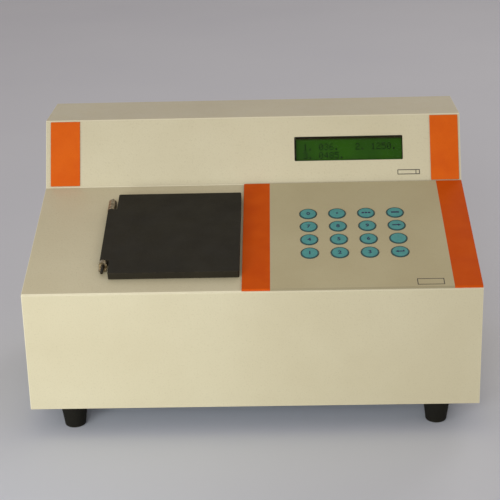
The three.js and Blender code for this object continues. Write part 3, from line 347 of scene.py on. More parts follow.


# The common finish: patches, specks, dust and painted shade in creases, worn edges that on the case also
# carry a painted highlight, uneven gloss and a grain in relief.
# After each one's colour come its size, reach or width, then the size of the gaps in wear, then its share.
def finish(name, look):
    material, tree, shader, where = newMaterial(name)
    tint, size = look["patch"]
    patches = spread(tree, speckle(tree, where, size, 4), *fadeEnds["patch"])
    colour = mixed(tree, patches, look["colour"], tint)
    if "speck" in look:
        tint, size, share = look["speck"]
        specks = spread(tree, speckle(tree, where, size, 2), *fadeEnds["speck"], 0, share)
        colour = mixed(tree, specks, colour, tint)
    # Dust in creases found by ambient occlusion; where its colour is darker than the finish it is painted
    # shade as well as dust
    if "dustAndCreaseShade" in look:
        tint, reach, share = look["dustAndCreaseShade"]
        colour = mixed(tree, times(tree, creases(tree, reach), share), colour, tint)
    # Worn edges; on the case this lighter colour is also a painted highlight
    if "wearAndEdgeHighlight" in look:
        tint, width, size, share = look["wearAndEdgeHighlight"]
        gaps = spread(tree, speckle(tree, where, size, 4), *fadeEnds["gap"], 0, share)
        colour = mixed(tree, times(tree, edgeLines(tree, width), gaps), colour, tint)
    tree.links.new(colour, shader.inputs["Base Color"])
    gloss = speckle(tree, where, look.get("glossSize", 14), 3)
    gloss = spread(tree, gloss, *fadeEnds["gloss"], *look["roughness"])
    tree.links.new(gloss, shader.inputs["Roughness"])
    normal = None
    for size, height in look["grains"]:
        sockets = {"Height": speckle(tree, where, size, 2), "Distance": height * mm, "Strength": 1}
        if normal:
            sockets["Normal"] = normal
        normal = addNode(tree, "Bump", sockets).outputs["Normal"]
    tree.links.new(normal, shader.inputs["Normal"])
    shader.inputs["Metallic"].default_value = look.get("metallic", 0)
    shader.inputs["Specular IOR Level"].default_value = look.get("specular", 0.5)
    shader.inputs["Coat Weight"].default_value = look.get("coat", 0)
    shader.inputs["Coat Roughness"].default_value = look.get("coatRoughness", 0.1)
    return material, tree, shader, where


def plainFinish(name, look):
    return finish(name, look)[0]


# Camera at the photograph's angle, floor, and soft light
cameraSet = {
    "position": (21.2, -798.5, 398.4),  # from the middle of the front panel's lower edge
    "pitch": 19.79, "yaw": -1.53, "roll": -1.49,
    "focal": 1327,  # in widths of a pixel, for a picture 500 pixels wide
    "picture": 500,
}


def makeCamera():
    pitch, yaw, roll = [radians(cameraSet[key]) for key in ("pitch", "yaw", "roll")]
    ahead = Vector((sin(yaw) * cos(pitch), cos(yaw) * cos(pitch), -sin(pitch)))
    right = Vector((cos(yaw), -sin(yaw), 0))
    up = right.cross(ahead)
    tiltedRight = cos(roll) * right + sin(roll) * up
    tiltedUp = cos(roll) * up - sin(roll) * right
    lens = bpy.data.cameras.new("camera")
    lens.sensor_width = 36
    lens.lens = lens.sensor_width * cameraSet["focal"] / cameraSet["picture"]
    lens.clip_start = 0.01
    camera = newObject("camera", lens)
    turn = Matrix((tiltedRight, tiltedUp, -ahead)).transposed().to_4x4()
    camera.matrix_world = Matrix.Translation(casePlace @ Vector(cameraSet["position"])) @ turn
    scene.camera = camera


lightSet = {
    "key": {
        "place": (-340, -380, 100),  # low on the left, so the front panel is brightest there
        "size": 190, "power": 0.255, "spread": 90, "colour": (251, 255, 255),
    },
    "front": {
        "place": (-300, -2400, 1000), "size": 1400, "power": 2.92, "colour": (251, 255, 255),
        "spread": 60,  # narrow, so the floor under the lamp isn't brighter than the rest
    },
    "back": {"place": (1500, 2700, 1600), "size": 1500, "power": 2, "spread": 60, "colour": (255, 248, 240)},
    "aim": (0, 80, 70),
    "skyLight": (172, 163, 158),  # what the sky gives the object, warmer than what is seen of it
    "skySeen": (186, 189, 194),
    "floorColour": (222, 227, 236),
    "floorPatch": (218, 223, 233),
    "floorHalf": 20000,
}


def makeLamp(name):
    look = lightSet[name]
    lamp = bpy.data.lights.new(name, "AREA")
    lamp.shape = "DISK"
    lamp.size = look["size"] * mm
    lamp.energy = look["power"]
    lamp.spread = radians(look["spread"])
    lamp.color = screenColour(*look["colour"])[:3]
    holder = newObject(name, lamp)
    holder.visible_camera = False
    start = casePlace @ Vector(look["place"])
    toward = casePlace @ Vector(lightSet["aim"]) - start
    holder.location = start
    holder.rotation_euler = toward.to_track_quat("-Z", "Y").to_euler()


def makeSky():
    world = bpy.data.worlds.new("studio")
    scene.world = world
    world.use_nodes = True
    tree = world.node_tree
    path = addNode(tree, "LightPath").outputs
    seen = largest(tree, [path["Is Camera Ray"], path["Is Glossy Ray"], path["Is Transmission Ray"]])
    sky = mixed(tree, seen, lightSet["skyLight"], lightSet["skySeen"])
    tree.links.new(sky, tree.nodes["Background"].inputs["Color"])


def makeFloor():
    half = lightSet["floorHalf"]
    shape = bmesh.new()
    corners = [(-half, -half), (half, -half), (half, half), (-half, half)]
    shape.faces.new([shape.verts.new((x, y, 0)) for x, y in corners])
    mesh = meshOf(shape, "floor")
    mesh.transform(Matrix.Scale(mm, 4))
    material, tree, shader, where = newMaterial("paleFloor")
    patches = spread(tree, speckle(tree, where, 400, 2), 0.3, 0.7)
    shade = mixed(tree, patches, lightSet["floorColour"], lightSet["floorPatch"])
    tree.links.new(shade, shader.inputs["Base Color"])
    shader.inputs["Roughness"].default_value = 0.8
    shader.inputs["Specular IOR Level"].default_value = 0.2
    mesh.materials.append(material)
    newObject("floor", mesh)


makeCamera()
for name in ("key", "front", "back"):
    makeLamp(name)
makeSky()
makeFloor()
print("camera, lamps and floor are in place")


# Powder coat of the case: cream, with a fine pebble and a slower orange peel, a painted highlight along the
# bends and edges, and painted shade with dust in the creases.
# The width of the worn and highlighted edges stays well under the sheet's thickness, or its mask reaches the
# sheet's other side.
paintLook = {
    "colour": (216, 208, 176), "patch": ((210, 201, 168), 90), "speck": ((192, 182, 148), 1.1, 0.4),
    # Darker in creases: painted shade with dust. Lighter at the edges: a painted highlight with wear.
    "dustAndCreaseShade": ((150, 138, 108), 7, 0.45), "wearAndEdgeHighlight": ((244, 238, 214), 0.4, 5, 0.6),
    "roughness": (0.42, 0.56), "specular": 0.3, "coat": 0.25, "coatRoughness": 0.26,
    "grains": [(3.4, 0.06), (1.1, 0.06)],
    # Painted highlight along the bends, and how much of it
    "bend": ((246, 240, 212), 0.8),
}


def makeCasePaint():
    material, tree, shader, where = finish("creamPowderCoat", paintLook)
    normal = facing(tree)
    flats = [(1, 0, 0), (0, 1, 0), (0, 0, 1)]
    flats += [(0, -sin(tilt), cos(tilt)) for tilt in (deckSlope, faceTilt)]
    shares = [along(tree, normal, flat) for flat in flats]
    for i in range(len(shares)):
        shares[i] = addNode(tree, "Math", {0: shares[i]}, operation="ABSOLUTE").outputs[0]
    # Painted highlight on the bends: lighter where the surface turns away from every flat panel
    tint, most = paintLook["bend"]
    recolour(tree, shader, spread(tree, largest(tree, shares), *fadeEnds["bend"], 0, most), tint)
    return material


casePaint = makeCasePaint()

coverShape = {
    "sideRound": 0.5, "edgeRound": 0.22, "rearFlange": 12,
    "rearInset": 2.4,  # from the cover's rear edge to the back of its folded frame
    "lipHeight": 14.3, "wellFlange": 5, "windowLap": 3, "windowCorner": 0.8,
    "tailSlotHalves": (16, 1.5), "tailSlotUp": 24, "studHole": 1.8,
    "screwShares": (0.12, 0.5, 0.88),  # of the case's depth
    "screwUp": 8, "screwRadius": 1.7, "screwHead": 3.1, "screwGap": 0.12, "screwSink": 0.15,
    "overrun": 6,
}


# A line of corners moved to its right-hand side
def movedInward(corners, distance):
    edges = [(after - before).normalized() for before, after in zip(corners, corners[1:])]
    normals = [Vector((edge.y, -edge.x)) for edge in edges]
    line = []
    for i, corner in enumerate(corners):
        before = normals[max(i - 1, 0)]
        after = normals[min(i, len(normals) - 1)]
        middle = (before + after).normalized()
        line.append(corner + middle * (distance / middle.dot(before)))
    return line


# The same line with an arc at each inner corner
def withBends(corners, isMovedIn):
    points = [tuple(corners[0])]
    for before, corner, after in zip(corners, corners[1:], corners[2:]):
        into = (corner - before).normalized()
        out = (after - corner).normalized()
        turn = into.x * out.y - into.y * out.x
        side = 1 if turn > 0 else -1
        radius = caseLine["bendRadius"] + (side * sheet if isMovedIn else 0)
        angle = asin(min(1, abs(turn)))
        start = corner - into * (radius * tan(angle / 2))
        centre = start + Vector((-into.y, into.x)) * (side * radius)
        first = degrees(atan2(start.y - centre.y, start.x - centre.x))
        last = first + side * degrees(angle)
        points += arc(centre.x, centre.y, radius, first, last, caseLine["bendSteps"])
    points.append(tuple(corners[-1]))
    return points


def windowSides():
    low, high = boxIn("display_window", facePlace)
    lap = coverShape["windowLap"]
    return low.x + lap, high.x - lap, low.y + lap, high.y - lap


# Puts a shape drawn along Z at a side screw's place, some way in from the side
def atSide(shape, side, share, inset):
    turn = Matrix.Rotation(side * pi / 2, 4, "Y")
    return moved(shape, side * (halfWidth - inset), share * caseDepth, coverShape["screwUp"], turn)


def makeCover():
    look = coverShape
    over = look["overrun"]
    outside = prism(withBends(caseCorners, False) + [(caseDepth, 0)], -halfWidth, halfWidth, sideView)

    def alongSide(edge):
        isSideways = any(abs(face.normal.x) > 0.9 for face in edge.link_faces)
        isOpen = any(face.normal.z < -0.9 or face.normal.y > 0.9 for face in edge.link_faces)
        return isSideways and not isOpen

    roundEdges(outside, look["sideRound"], 4, picks=alongSide)
    line = withBends(movedInward(caseCorners, sheet), True)
    line[0] = (line[0][0], -over)
    line[-1] = (caseDepth + over, line[-1][1])
    inner = halfWidth - sheet
    holes = [prism(line + [(caseDepth + over, -over)], -inner, inner, sideView)]
    low, high = boxIn("chamber_well", deckPlace)
    flange = look["wellFlange"]
    wellHole = cuboid(low.x + flange, high.x - flange, low.y + flange, high.y - flange, -over, over)
    padLow, padHigh = boxIn("key_row1_col1", deckPlace)[0], boxIn("key_row1_col4", deckPlace)[1]
    x, y = (padLow.x + padHigh.x) / 2, look["tailSlotUp"]
    halfX, halfY = look["tailSlotHalves"]
    tailHole = cuboid(x - halfX, x + halfX, y - halfY, y + halfY, -over, over)
    windowHole = prism(roundedBox(*windowSides(), look["windowCorner"]), -over, over)
    sheetHoles = [(wellHole, deckPlace), (tailHole, deckPlace), (windowHole, facePlace)]
    for which in ("front", "rear"):
        low, high = boxIn("hinge_bracket_" + which, deckPlace)
        outline = circle((low.x + high.x) / 2, (low.y + high.y) / 2, look["studHole"], 32)
        sheetHoles.append((prism(outline, -over, over), deckPlace))
    for hole, place in sheetHoles:
        hole.transform(casePlace.inverted() @ place)
        holes.append(hole)
    radius, head = look["screwRadius"], look["screwHead"]
    sink = [(0, -over), (radius, -over), (radius, 0.1), (head, sheet + 0.05), (head, over), (0, over)]
    for share in look["screwShares"]:
        for side in (-1, 1):
            holes.append(atSide(turned(sink, 32), side, share, sheet))
    shell = combined(outside, "DIFFERENCE", holes)
    top = caseHeight - sheet / 2
    side = halfWidth - sheet / 2
    fold = look["rearFlange"]
    lip = look["lipHeight"]
    frameLine = [
        (-side, lip), (-side + fold, lip), (-side + fold, top - fold), (side - fold, top - fold),
        (side - fold, lip), (side, lip), (side, top), (-side, top),
    ]
    rearFrame = moved(prism(frameLine, 0, sheet, rearView), y=caseDepth - look["rearInset"])
    shell = combined(shell, "UNION", [rearFrame])
    roundEdges(shell, look["edgeRound"], 2, 50)
    addPiece("case_cover", shell, [casePaint], "cover")


makeCover()
print("cover is folded, cut and rounded")


# Bright hardware: nickel plate gone slightly dull, and screws
nickel = plainFinish("dullNickel", {
    "colour": (196, 188, 170), "patch": ((165, 155, 135), 3), "speck": ((105, 92, 70), 0.7, 0.5),
    "dustAndCreaseShade": ((60, 50, 36), 1.2, 0.7),
    "roughness": (0.22, 0.42), "glossSize": 2, "metallic": 1, "grains": [(0.5, 0.01)],
})

screwSteel = plainFinish("screwSteel", {
    "colour": (172, 172, 170), "patch": ((140, 139, 135), 2.5),
    "dustAndCreaseShade": ((50, 46, 38), 1, 0.75),
    "roughness": (0.25, 0.45), "glossSize": 2, "metallic": 1, "grains": [(0.4, 0.008)],
})

screwShape = {
    "sides": 40,
    "slotShare": 0.24,  # of the head's radius
    "slotDepth": 0.6, "edgeRound": 0.06,
    "raisedShank": (0.45, 0.6),  # share of the head's radius, and how far it goes in
    "domeShare": 0.75,  # of the head's height
    "crownShare": 1.04, "sunkShank": (0.5, 0.95), "sunkRim": (0.1, 0.06), "sunkCrown": 0.02,
}


# A slotted screw head that looks along Z with its seat at 0: raised, or sunk flush if it has no height
def screwHead(radius, height, slotTurn):
    look = screwShape
    share, depth = look["raisedShank"] if height else look["sunkShank"]
    shank = radius * share
    if height:
        dome = height * look["domeShare"]
        line = arc(radius - dome, height * (1 - look["domeShare"]), dome, 0, 90, 6)
        profile = [(0, -depth), (shank, -depth), (shank, 0), (radius, 0), *line]
        crown = height * look["crownShare"]
    else:
        inset, drop = look["sunkRim"]
        profile = [(0, -1), (shank, -1), (shank, -depth), (radius - inset, -drop), (radius, 0)]
        crown = look["sunkCrown"]
    head = turned([*profile, (0, crown)], look["sides"])
    wide = radius * look["slotShare"] / 2
    slot = cuboid(-radius - 1, radius + 1, -wide, wide, height - look["slotDepth"], height + 1)
    slot.transform(Matrix.Rotation(radians(slotTurn), 4, "Z"))
    return roundEdges(combined(head, "DIFFERENCE", [slot]), look["edgeRound"], 2, 50)


def makeSideScrews():
    look = coverShape
    for i, share in enumerate(look["screwShares"]):
        for name, side in (("left", -1), ("right", 1)):
            head = screwHead(look["screwHead"] - look["screwGap"], 0, 37 + 50 * i)
            atSide(head, side, share, look["screwSink"])
            addPiece("side_screw_%s_%d" % (name, i + 1), head, [screwSteel])


makeSideScrews()


# Rubber feet with a screw and a washer in the recess
rubber = plainFinish("footRubber", {
    "colour": (21, 19, 13), "patch": ((27, 25, 18), 7), "speck": ((50, 46, 36), 0.8, 0.35),
    "dustAndCreaseShade": ((74, 67, 52), 3, 0.15), "wearAndEdgeHighlight": ((56, 51, 40), 0.8, 2, 0.5),
    "roughness": (0.7, 0.86), "specular": 0.2, "grains": [(1.2, 0.03), (0.35, 0.015)],
})

footShape = {
    "bottomRadius": 7.1, "topRadius": 9.5, "bore": 3.2, "boreDepth": 9, "boreChamfer": 0.4,
    "edgeRound": 1.2, "topChamfer": (0.3, 0.35), "washer": 3, "washerTop": 0.65,
    "washerChamfer": 0.1, "screw": 2.7, "screwHeight": 1.9,
    "washerSeat": 0.7,  # under the recess's ceiling
    "sides": 64,
}


def makeFeet():
    look = footShape
    for corner in ("front_left", "front_right", "rear_left", "rear_right"):
        low, high = boxIn("foot_" + corner, casePlace)
        middle = (low + high) / 2
        height = high.z - low.z
        bottom, bore, edge = look["bottomRadius"], look["bore"], look["edgeRound"]
        slope = (look["topRadius"] - bottom) / height
        inset, drop = look["topChamfer"]
        profile = [
            (0, look["boreDepth"]), (bore, look["boreDepth"]), (bore, look["boreChamfer"]),
            (bore + look["boreChamfer"], 0), *arc(bottom - edge, edge, edge, -90, 0, 6),
            (bottom + slope * (height - drop), height - drop), (bottom + slope * height - inset, height),
            (0, height),
        ]
        foot = moved(turned(profile, look["sides"]), middle.x, middle.y, low.z)
        addPiece("rubber_foot_" + corner, foot, [rubber], "foot_" + corner)
        washer, chamfer, top = look["washer"], look["washerChamfer"], look["washerTop"]
        profile = [(0, 0), (washer - chamfer, 0), (washer, chamfer), (washer, top), (0, top)]
        head = screwHead(look["screw"], look["screwHeight"], 60)
        head.transform(Matrix.Rotation(pi, 4, "X"))
        both = merged([turned(profile, look["sides"]), head])
        seat = low.z + look["boreDepth"] - look["washerSeat"]
        addPiece("foot_screw_" + corner, moved(both, middle.x, middle.y, seat), [screwSteel])


makeFeet()
print("feet and side screws are in")


# Lid, its hinge and the foam under it
lidBlack = plainFinish("lidBlack", {
    "colour": (43, 39, 28), "patch": ((38, 34, 25), 26), "speck": ((60, 53, 40), 0.9, 0.35),
    "dustAndCreaseShade": ((80, 71, 54), 2.5, 0.22), "wearAndEdgeHighlight": ((78, 69, 52), 0.5, 3, 0.75),
    "roughness": (0.56, 0.7), "specular": 0.2, "grains": [(1.8, 0.02), (0.6, 0.015)],
})

sealFoam = plainFinish("sealFoam", {
    "colour": (52, 52, 52), "patch": ((40, 40, 41), 5), "speck": ((20, 20, 20), 0.5, 0.9),
    "roughness": (0.85, 1), "grains": [(0.8, 0.12), (0.35, 0.06)],
})

hingeMetal = plainFinish("tarnishedNickel", {
    "colour": (186, 172, 146), "patch": ((128, 112, 84), 2.5), "speck": ((62, 48, 30), 0.7, 0.6),
    # Darker hollows are tarnish; the lighter edges are wear and a painted glint
    "dustAndCreaseShade": ((36, 28, 18), 1.2, 0.8), "wearAndEdgeHighlight": ((206, 196, 172), 0.4, 1.5, 0.8),
    "roughness": (0.3, 0.48), "glossSize": 2, "metallic": 0.85, "grains": [(0.5, 0.012)],
})

pinSteel = plainFinish("pinSteel", {
    "colour": (66, 58, 46), "patch": ((44, 38, 30), 2), "speck": ((96, 86, 68), 0.5, 0.5),
    "wearAndEdgeHighlight": ((130, 120, 100), 0.2, 1.5, 0.6),
    "roughness": (0.34, 0.5), "glossSize": 2, "metallic": 0.8, "grains": [(0.4, 0.008)],
})

hingeShape = {
    "earRadius": 2.7, "frontEarLength": 2.8, "footThick": 1.4, "footCorner": 0.8,
    "studRadius": 1.5, "clearance": 0.3, "boreGap": 0.05, "edgeRound": 0.28, "pinRound": 0.3,
}


def makeHinge():
    look = hingeShape
    pinLow, pinHigh = boxIn("hinge_pin", deckPlace)
    axisX = (pinLow.x + pinHigh.x) / 2
    axisUp = (pinLow.z + pinHigh.z) / 2
    pinRadius = (pinHigh.x - pinLow.x) / 2
    length = pinHigh.y - pinLow.y
    rounding = look["pinRound"]
    nose = arc(pinRadius - rounding, rounding, rounding, -90, 0, 4)
    tail = arc(pinRadius - rounding, length - rounding, rounding, 0, 90, 4)
    pin = moved(turned([(0, 0), *nose, *tail, (0, length)], 32), axisX, pinLow.y, axisUp, toBack)
    addPiece("lid_hinge_pin", pin, [pinSteel], "hinge_pin", deckPlace)
    radius = look["earRadius"]
    floor = look["clearance"]
    for which in ("front", "rear"):
        nodeName = "hinge_bracket_" + which
        low, high = boxIn(nodeName, deckPlace)
        earLength = look["frontEarLength"] if which == "front" else high.y - low.y
        outline = [(axisX - radius, floor), (axisX + radius, floor), *arc(axisX, axisUp, radius, 0, 180, 24)]
        ear = moved(prism(outline, 0, earLength, rearView), y=high.y)
        middle = (low.y + high.y) / 2
        joined = [prism(circle(axisX, middle, look["studRadius"], 32), low.z, floor + look["footThick"] / 2)]
        if which == "front":
            ends = low.y, high.y - earLength / 2
            outline = roundedBox(axisX - radius, axisX + radius, *ends, look["footCorner"])
            joined.append(prism(outline, floor, floor + look["footThick"]))
        bore = prism(circle(0, 0, pinRadius + look["boreGap"], 32), -length, length, rearView)
        bracket = combined(combined(ear, "UNION", joined), "DIFFERENCE", [moved(bore, axisX, middle, axisUp)])
        roundEdges(bracket, look["edgeRound"], 3, 45)
        addPiece(nodeName + "_plated", bracket, [hingeMetal], nodeName, deckPlace)


dressedCopy("lid", "sample_lid", 0.45, [lidBlack], deckPlace)
dressedCopy("lid_seal", "lid_foam_ring", 0.2, [sealFoam], deckPlace)
makeHinge()
print("lid and hinge are in")


# Key pad: film with two printed bands, round keys with a dark printed rim and a sign
overlayLook = {
    "colour": (199, 190, 154), "patch": ((193, 183, 147), 60), "speck": ((178, 167, 132), 0.7, 0.35),
    "dustAndCreaseShade": ((120, 108, 80), 1.5, 0.4),
    "roughness": (0.5, 0.62), "specular": 0.08, "grains": [(0.7, 0.008), (9, 0.02)],
    "curlShade": ((150, 140, 112), 0.75),  # painted shade on the part that is bent down, and how much of it
    "band": (217, 90, 10),
    "bandPatch": (209, 81, 6),
    "leftBandEnd": 12.2,
    "rightBandStart": 131.4,
}

overlayShape = {
    "corner": 0.6, "holeGap": 0.3, "edgeRound": 0.1,
    "curlEnd": 48,  # degrees round the front bend, where the film ends
    "curlGap": 0.05,  # from the coat there
    "curlThick": 0.3, "curlSteps": 8,
}

keyShape = {
    "sides": 64, "rim": 0.85, "footChamfer": 0.1, "edgeRound": 0.25, "crown": 0.16,
    "ringShares": (0, 0.18, 0.36, 0.54, 0.72), "digitSize": 4.8, "digitBold": 0.16,
    "signThick": 0.03,
}

keySigns = [
    ["0", "dot", "dashes", "bar"],
    ["7", "8", "9", "arrow"],
    ["4", "5", "6", ""],
    ["1", "2", "3", "return"],
]

# Simple marks in place of words: outlines in millimetres
markLines = {
    "dot": [circle(0, 0, 0.75, 24)],
    "bar": [roundedBox(-2.8, 2.8, -0.8, 0.8, 0.3)],
    "dashes": [roundedBox(x - 0.85, x + 0.85, -0.8, 0.8, 0.25) for x in (-2.2, 0, 2.2)],
    "arrow": [[(-3, -0.55), (0.9, -0.55), (0.9, -1.3), (3.2, 0), (0.9, 1.3), (0.9, 0.55), (-3, 0.55)]],
    "return": [[
        (-3.2, 0), (-1.1, -1.3), (-1.1, -0.5), (2.9, -0.5), (2.9, 1.4), (2, 1.4), (2, 0.5), (-1.1, 0.5),
        (-1.1, 1.3),
    ]],
}

keys = []
for row, signs in enumerate(keySigns):
    for column, sign in enumerate(signs):
        keys.append(("key_row%d_col%d" % (row + 1, column + 1), sign))


def makeOverlayFilm():
    look = overlayLook
    material, tree, shader, where = finish("printedFilm", look)
    across = addNode(tree, "SeparateXYZ", {"Vector": where}).outputs["X"]
    soft = 0.05
    left = spread(tree, across, (look["leftBandEnd"] + soft) * mm, (look["leftBandEnd"] - soft) * mm)
    right = spread(tree, across, (look["rightBandStart"] - soft) * mm, (look["rightBandStart"] + soft) * mm)
    patches = spread(tree, speckle(tree, where, 20, 4), *fadeEnds["patch"])
    ink = mixed(tree, patches, look["band"], look["bandPatch"])
    upward = (deckPlace.to_3x3() @ Vector((0, 0, 1))).normalized()
    tint, most = look["curlShade"]
    # Painted shade: darker where the film turns from the deck's slope down round the front bend
    curlShadeMask = spread(tree, along(tree, facing(tree), upward), *fadeEnds["curl"])
    recolour(tree, shader, times(tree, curlShadeMask, most), tint)
    recolour(tree, shader, largest(tree, [left, right]), ink)
    return material


overlayFilm = makeOverlayFilm()

keyTeal = plainFinish("keyTeal", {
    "colour": (88, 164, 160), "patch": ((80, 154, 152), 3), "speck": ((64, 132, 130), 0.6, 0.3),
    "dustAndCreaseShade": ((50, 100, 102), 0.8, 0.4),
    "roughness": (0.42, 0.54), "specular": 0.3, "grains": [(0.6, 0.006)],
})

keyRim = plainFinish("keyRim", {
    "colour": (52, 92, 94), "patch": ((44, 82, 84), 2),
    "roughness": (0.42, 0.54), "specular": 0.3, "grains": [(0.6, 0.006)],
})

navyInk = plainFinish("navyInk", {
    "colour": (26, 36, 74), "patch": ((34, 44, 82), 1),
    "roughness": (0.4, 0.5), "grains": [(0.4, 0.004)],
})

darkInk = plainFinish("darkInk", {
    "colour": (52, 46, 38), "patch": ((66, 59, 48), 1.5),
    "roughness": (0.45, 0.55), "grains": [(0.4, 0.004)],
})


# The film from the side: flat on the deck, then pressed down round the front bend to the corner
def filmSection(low, high):
    look = overlayShape
    bend = caseLine["bendRadius"]
    bendY = bend * tan((pi / 2 - deckSlope) / 2)
    flatAngle = degrees(deckSlope)
    upper = []
    lower = []
    for i in range(look["curlSteps"] + 1):
        share = i / look["curlSteps"]
        angle = radians(look["curlEnd"] - flatAngle) * share
        lowRadius = bend + low.z + (look["curlGap"] - low.z) * share
        highRadius = lowRadius + high.z - low.z + (look["curlThick"] - high.z + low.z) * share
        lower.append((bendY - lowRadius * sin(angle), lowRadius * cos(angle) - bend))
        upper.append((bendY - highRadius * sin(angle), highRadius * cos(angle) - bend))
    return [(high.y, low.z), (high.y, high.z), *upper, *reversed(lower)]


def makeOverlay():
    look = overlayShape
    low, high = boxIn("keypad_overlay", deckPlace)
    film = prism(filmSection(low, high), low.x, high.x, sideView)

    def rearCorner(edge):
        start, end = [vertex.co for vertex in edge.verts]
        return min(start.y, end.y) > high.y - 0.1 and abs(start.x - end.x) < 1

    roundEdges(film, look["corner"], 4, picks=rearCorner)
    holes = []
    for nodeName, sign in keys:
        keyLow, keyHigh = boxIn(nodeName, deckPlace)
        middle = (keyLow + keyHigh) / 2
        radius = (keyHigh.x - keyLow.x) / 2 + look["holeGap"]
        holes.append(prism(circle(middle.x, middle.y, radius, 64), low.z - 1, high.z + 1))
    film = combined(film, "DIFFERENCE", [merged(holes)])
    roundEdges(film, look["edgeRound"], 2, 50)
    addPiece("printed_overlay", film, [overlayFilm], "keypad_overlay", deckPlace)


def makeKey(nodeName, sign):
    look = keyShape
    low, high = boxIn(nodeName, deckPlace)
    middle = (low + high) / 2
    radius = (high.x - low.x) / 2
    height = high.z - low.z
    rounding, foot = look["edgeRound"], look["footChamfer"]
    shoulder = height - look["crown"]
    flat = radius - rounding
    rimStart = radius - look["rim"]
    rings = [rimStart - flat * share for share in look["ringShares"]]
    bend = arc(flat, shoulder - rounding, rounding, 0, 90, 5)
    profile = [(0, 0), (radius - foot, 0), (radius, foot), *bend]
    profile += [(ring, height - look["crown"] * (ring / flat) ** 2) for ring in rings] + [(0, height)]
    shape = turned(profile, look["sides"])
    for face in shape.faces:
        centre = face.calc_center_median()
        isInner = hypot(centre.x, centre.y) < rimStart
        face.material_index = 0 if isInner and face.normal.z > 0.5 else 1
    if sign:
        thick = look["signThick"]
        if sign in markLines:
            marks = merged([prism(line, -thick / 2, thick / 2) for line in markLines[sign]])
        else:
            marks = signShape(sign, look["digitSize"], thick, look["digitBold"])
        shape = printed(shape, moved(marks, z=height + thick / 4), 2)
    moved(shape, middle.x, middle.y, low.z)
    body = frame["nodes"][nodeName]["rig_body"]
    addPiece(nodeName + "_printed", shape, [keyTeal, keyRim, navyInk], nodeName, deckPlace, body)


# A digit of the built-in font as a thin solid, with its middle at 0
def signShape(text, size, thick, bold):
    curve = bpy.data.curves.new("sign", "FONT")
    curve.body = text
    curve.size = size
    curve.offset = bold
    curve.extrude = thick / 2
    curve.resolution_u = 4
    loose = newObject("sign", curve)
    graph = bpy.context.evaluated_depsgraph_get()
    mesh = bpy.data.meshes.new_from_object(loose.evaluated_get(graph))
    shape = bmesh.new()
    shape.from_mesh(mesh)
    bpy.data.curves.remove(curve)
    bpy.data.meshes.remove(mesh)
    bmesh.ops.remove_doubles(shape, verts=shape.verts, dist=2 * weldGap)
    xs = [vertex.co.x for vertex in shape.verts]
    ys = [vertex.co.y for vertex in shape.verts]
    return moved(shape, -(min(xs) + max(xs)) / 2, -(min(ys) + max(ys)) / 2)


labelShape = {
    "line": 0.55, "thick": 0.03, "corner": 0.2, "padBox": (107.7, 125.3, 2.8, 9.2),
    "faceBox": (104.3, 120.35, 5.3, 8.9), "faceCell": 117.3, "plateThick": 0.12,
}


def boxLines(left, right, low, high, bottom):
    line, thick = labelShape["line"], labelShape["thick"]
    outer = prism(roundedBox(left, right, low, high, labelShape["corner"], 3), bottom, bottom + thick)
    inner = cuboid(left + line, right - line, low + line, high - line, bottom - 1, bottom + thick + 1)
    return combined(outer, "DIFFERENCE", [inner])


def makePadLabel():
    filmTop = boxIn("keypad_overlay", deckPlace)[1].z
    addPiece("pad_label_outline", boxLines(*labelShape["padBox"], filmTop), [darkInk], place=deckPlace)


membraneFilm = plainFinish("membraneFilm", {
    "colour": (196, 190, 172), "patch": ((186, 180, 160), 12),
    "roughness": (0.4, 0.5), "grains": [(0.6, 0.01)],
})

makeOverlay()
for nodeName, sign in keys:
    makeKey(nodeName, sign)
makePadLabel()
dressedCopy("keypad_membrane", "switch_membrane", 0.05, [membraneFilm], deckPlace)
print("key pad is in")


# Display: green glass with dark dots behind a clear pane, and a black bezel on its board
lcdLook = {
    "colour": (43, 88, 4), "patch": ((36, 76, 4), 22), "speck": ((28, 64, 4), 0.5, 0.35),
    "roughness": (0.5, 0.6), "specular": 0.1, "grains": [(0.5, 0.004)],
    "border": (30, 20, 3),
    "borderShare": 1.8,
    "borderLeft": 2,  # how far the darkening fades in from each side of the window
    "borderTop": 2.6,
    "borderOther": 0.7,
}

lcdShape = {
    "glassTop": -3.42, "glassBottom": -4.06, "glassCorner": 0.5, "glassRound": 0.12,
    "reach": 0.8,  # past the window's sides
    "columnPitch": 3.78,
    "firstColumn": 8,  # middle of the first sign, from the window's left side
    "dotX": 0.6, "dotUp": 0.7, "dotShare": 0.98, "dotThick": 0.03, "rowsBelowTop": (7.2, 13.4),
    "rows": ("1. 036.   2. 1250.", "3. 0485."),
    "boardThick": 1.7,  # a little over the board's own, to tell its faces from the bezel's
}

dotDigits = {
    "0": "01110 10001 10011 10101 11001 10001 01110",
    "1": "00100 01100 00100 00100 00100 00100 01110",
    "2": "01110 10001 00001 00110 01000 10000 11111",
    "3": "01110 10001 00001 00110 00001 10001 01110",
    "4": "00010 00110 01010 10010 11111 00010 00010",
    "5": "11111 10000 11110 00001 00001 10001 01110",
    "6": "00110 01000 10000 11110 10001 10001 01110",
    "8": "01110 10001 10001 01110 10001 10001 01110",
    ".": "00000 00000 00000 00000 00000 01100 01100",
}

lcdDot = plainFinish("lcdDot", {
    "colour": (5, 12, 3), "patch": ((7, 16, 4), 6),
    "roughness": (0.5, 0.6), "specular": 0.1, "grains": [(0.4, 0.004)],
})

bezelBlack = plainFinish("bezelBlack", {
    "colour": (26, 26, 27), "patch": ((33, 33, 34), 9),
    "wearAndEdgeHighlight": ((80, 80, 80), 0.3, 2, 0.5),
    "roughness": (0.4, 0.55), "grains": [(0.7, 0.01)],
})

boardGreen = plainFinish("boardGreen", {
    "colour": (28, 84, 46), "patch": ((22, 72, 40), 14), "speck": ((120, 130, 100), 1.6, 0.3),
    "roughness": (0.3, 0.45), "grains": [(1.5, 0.03)],
})


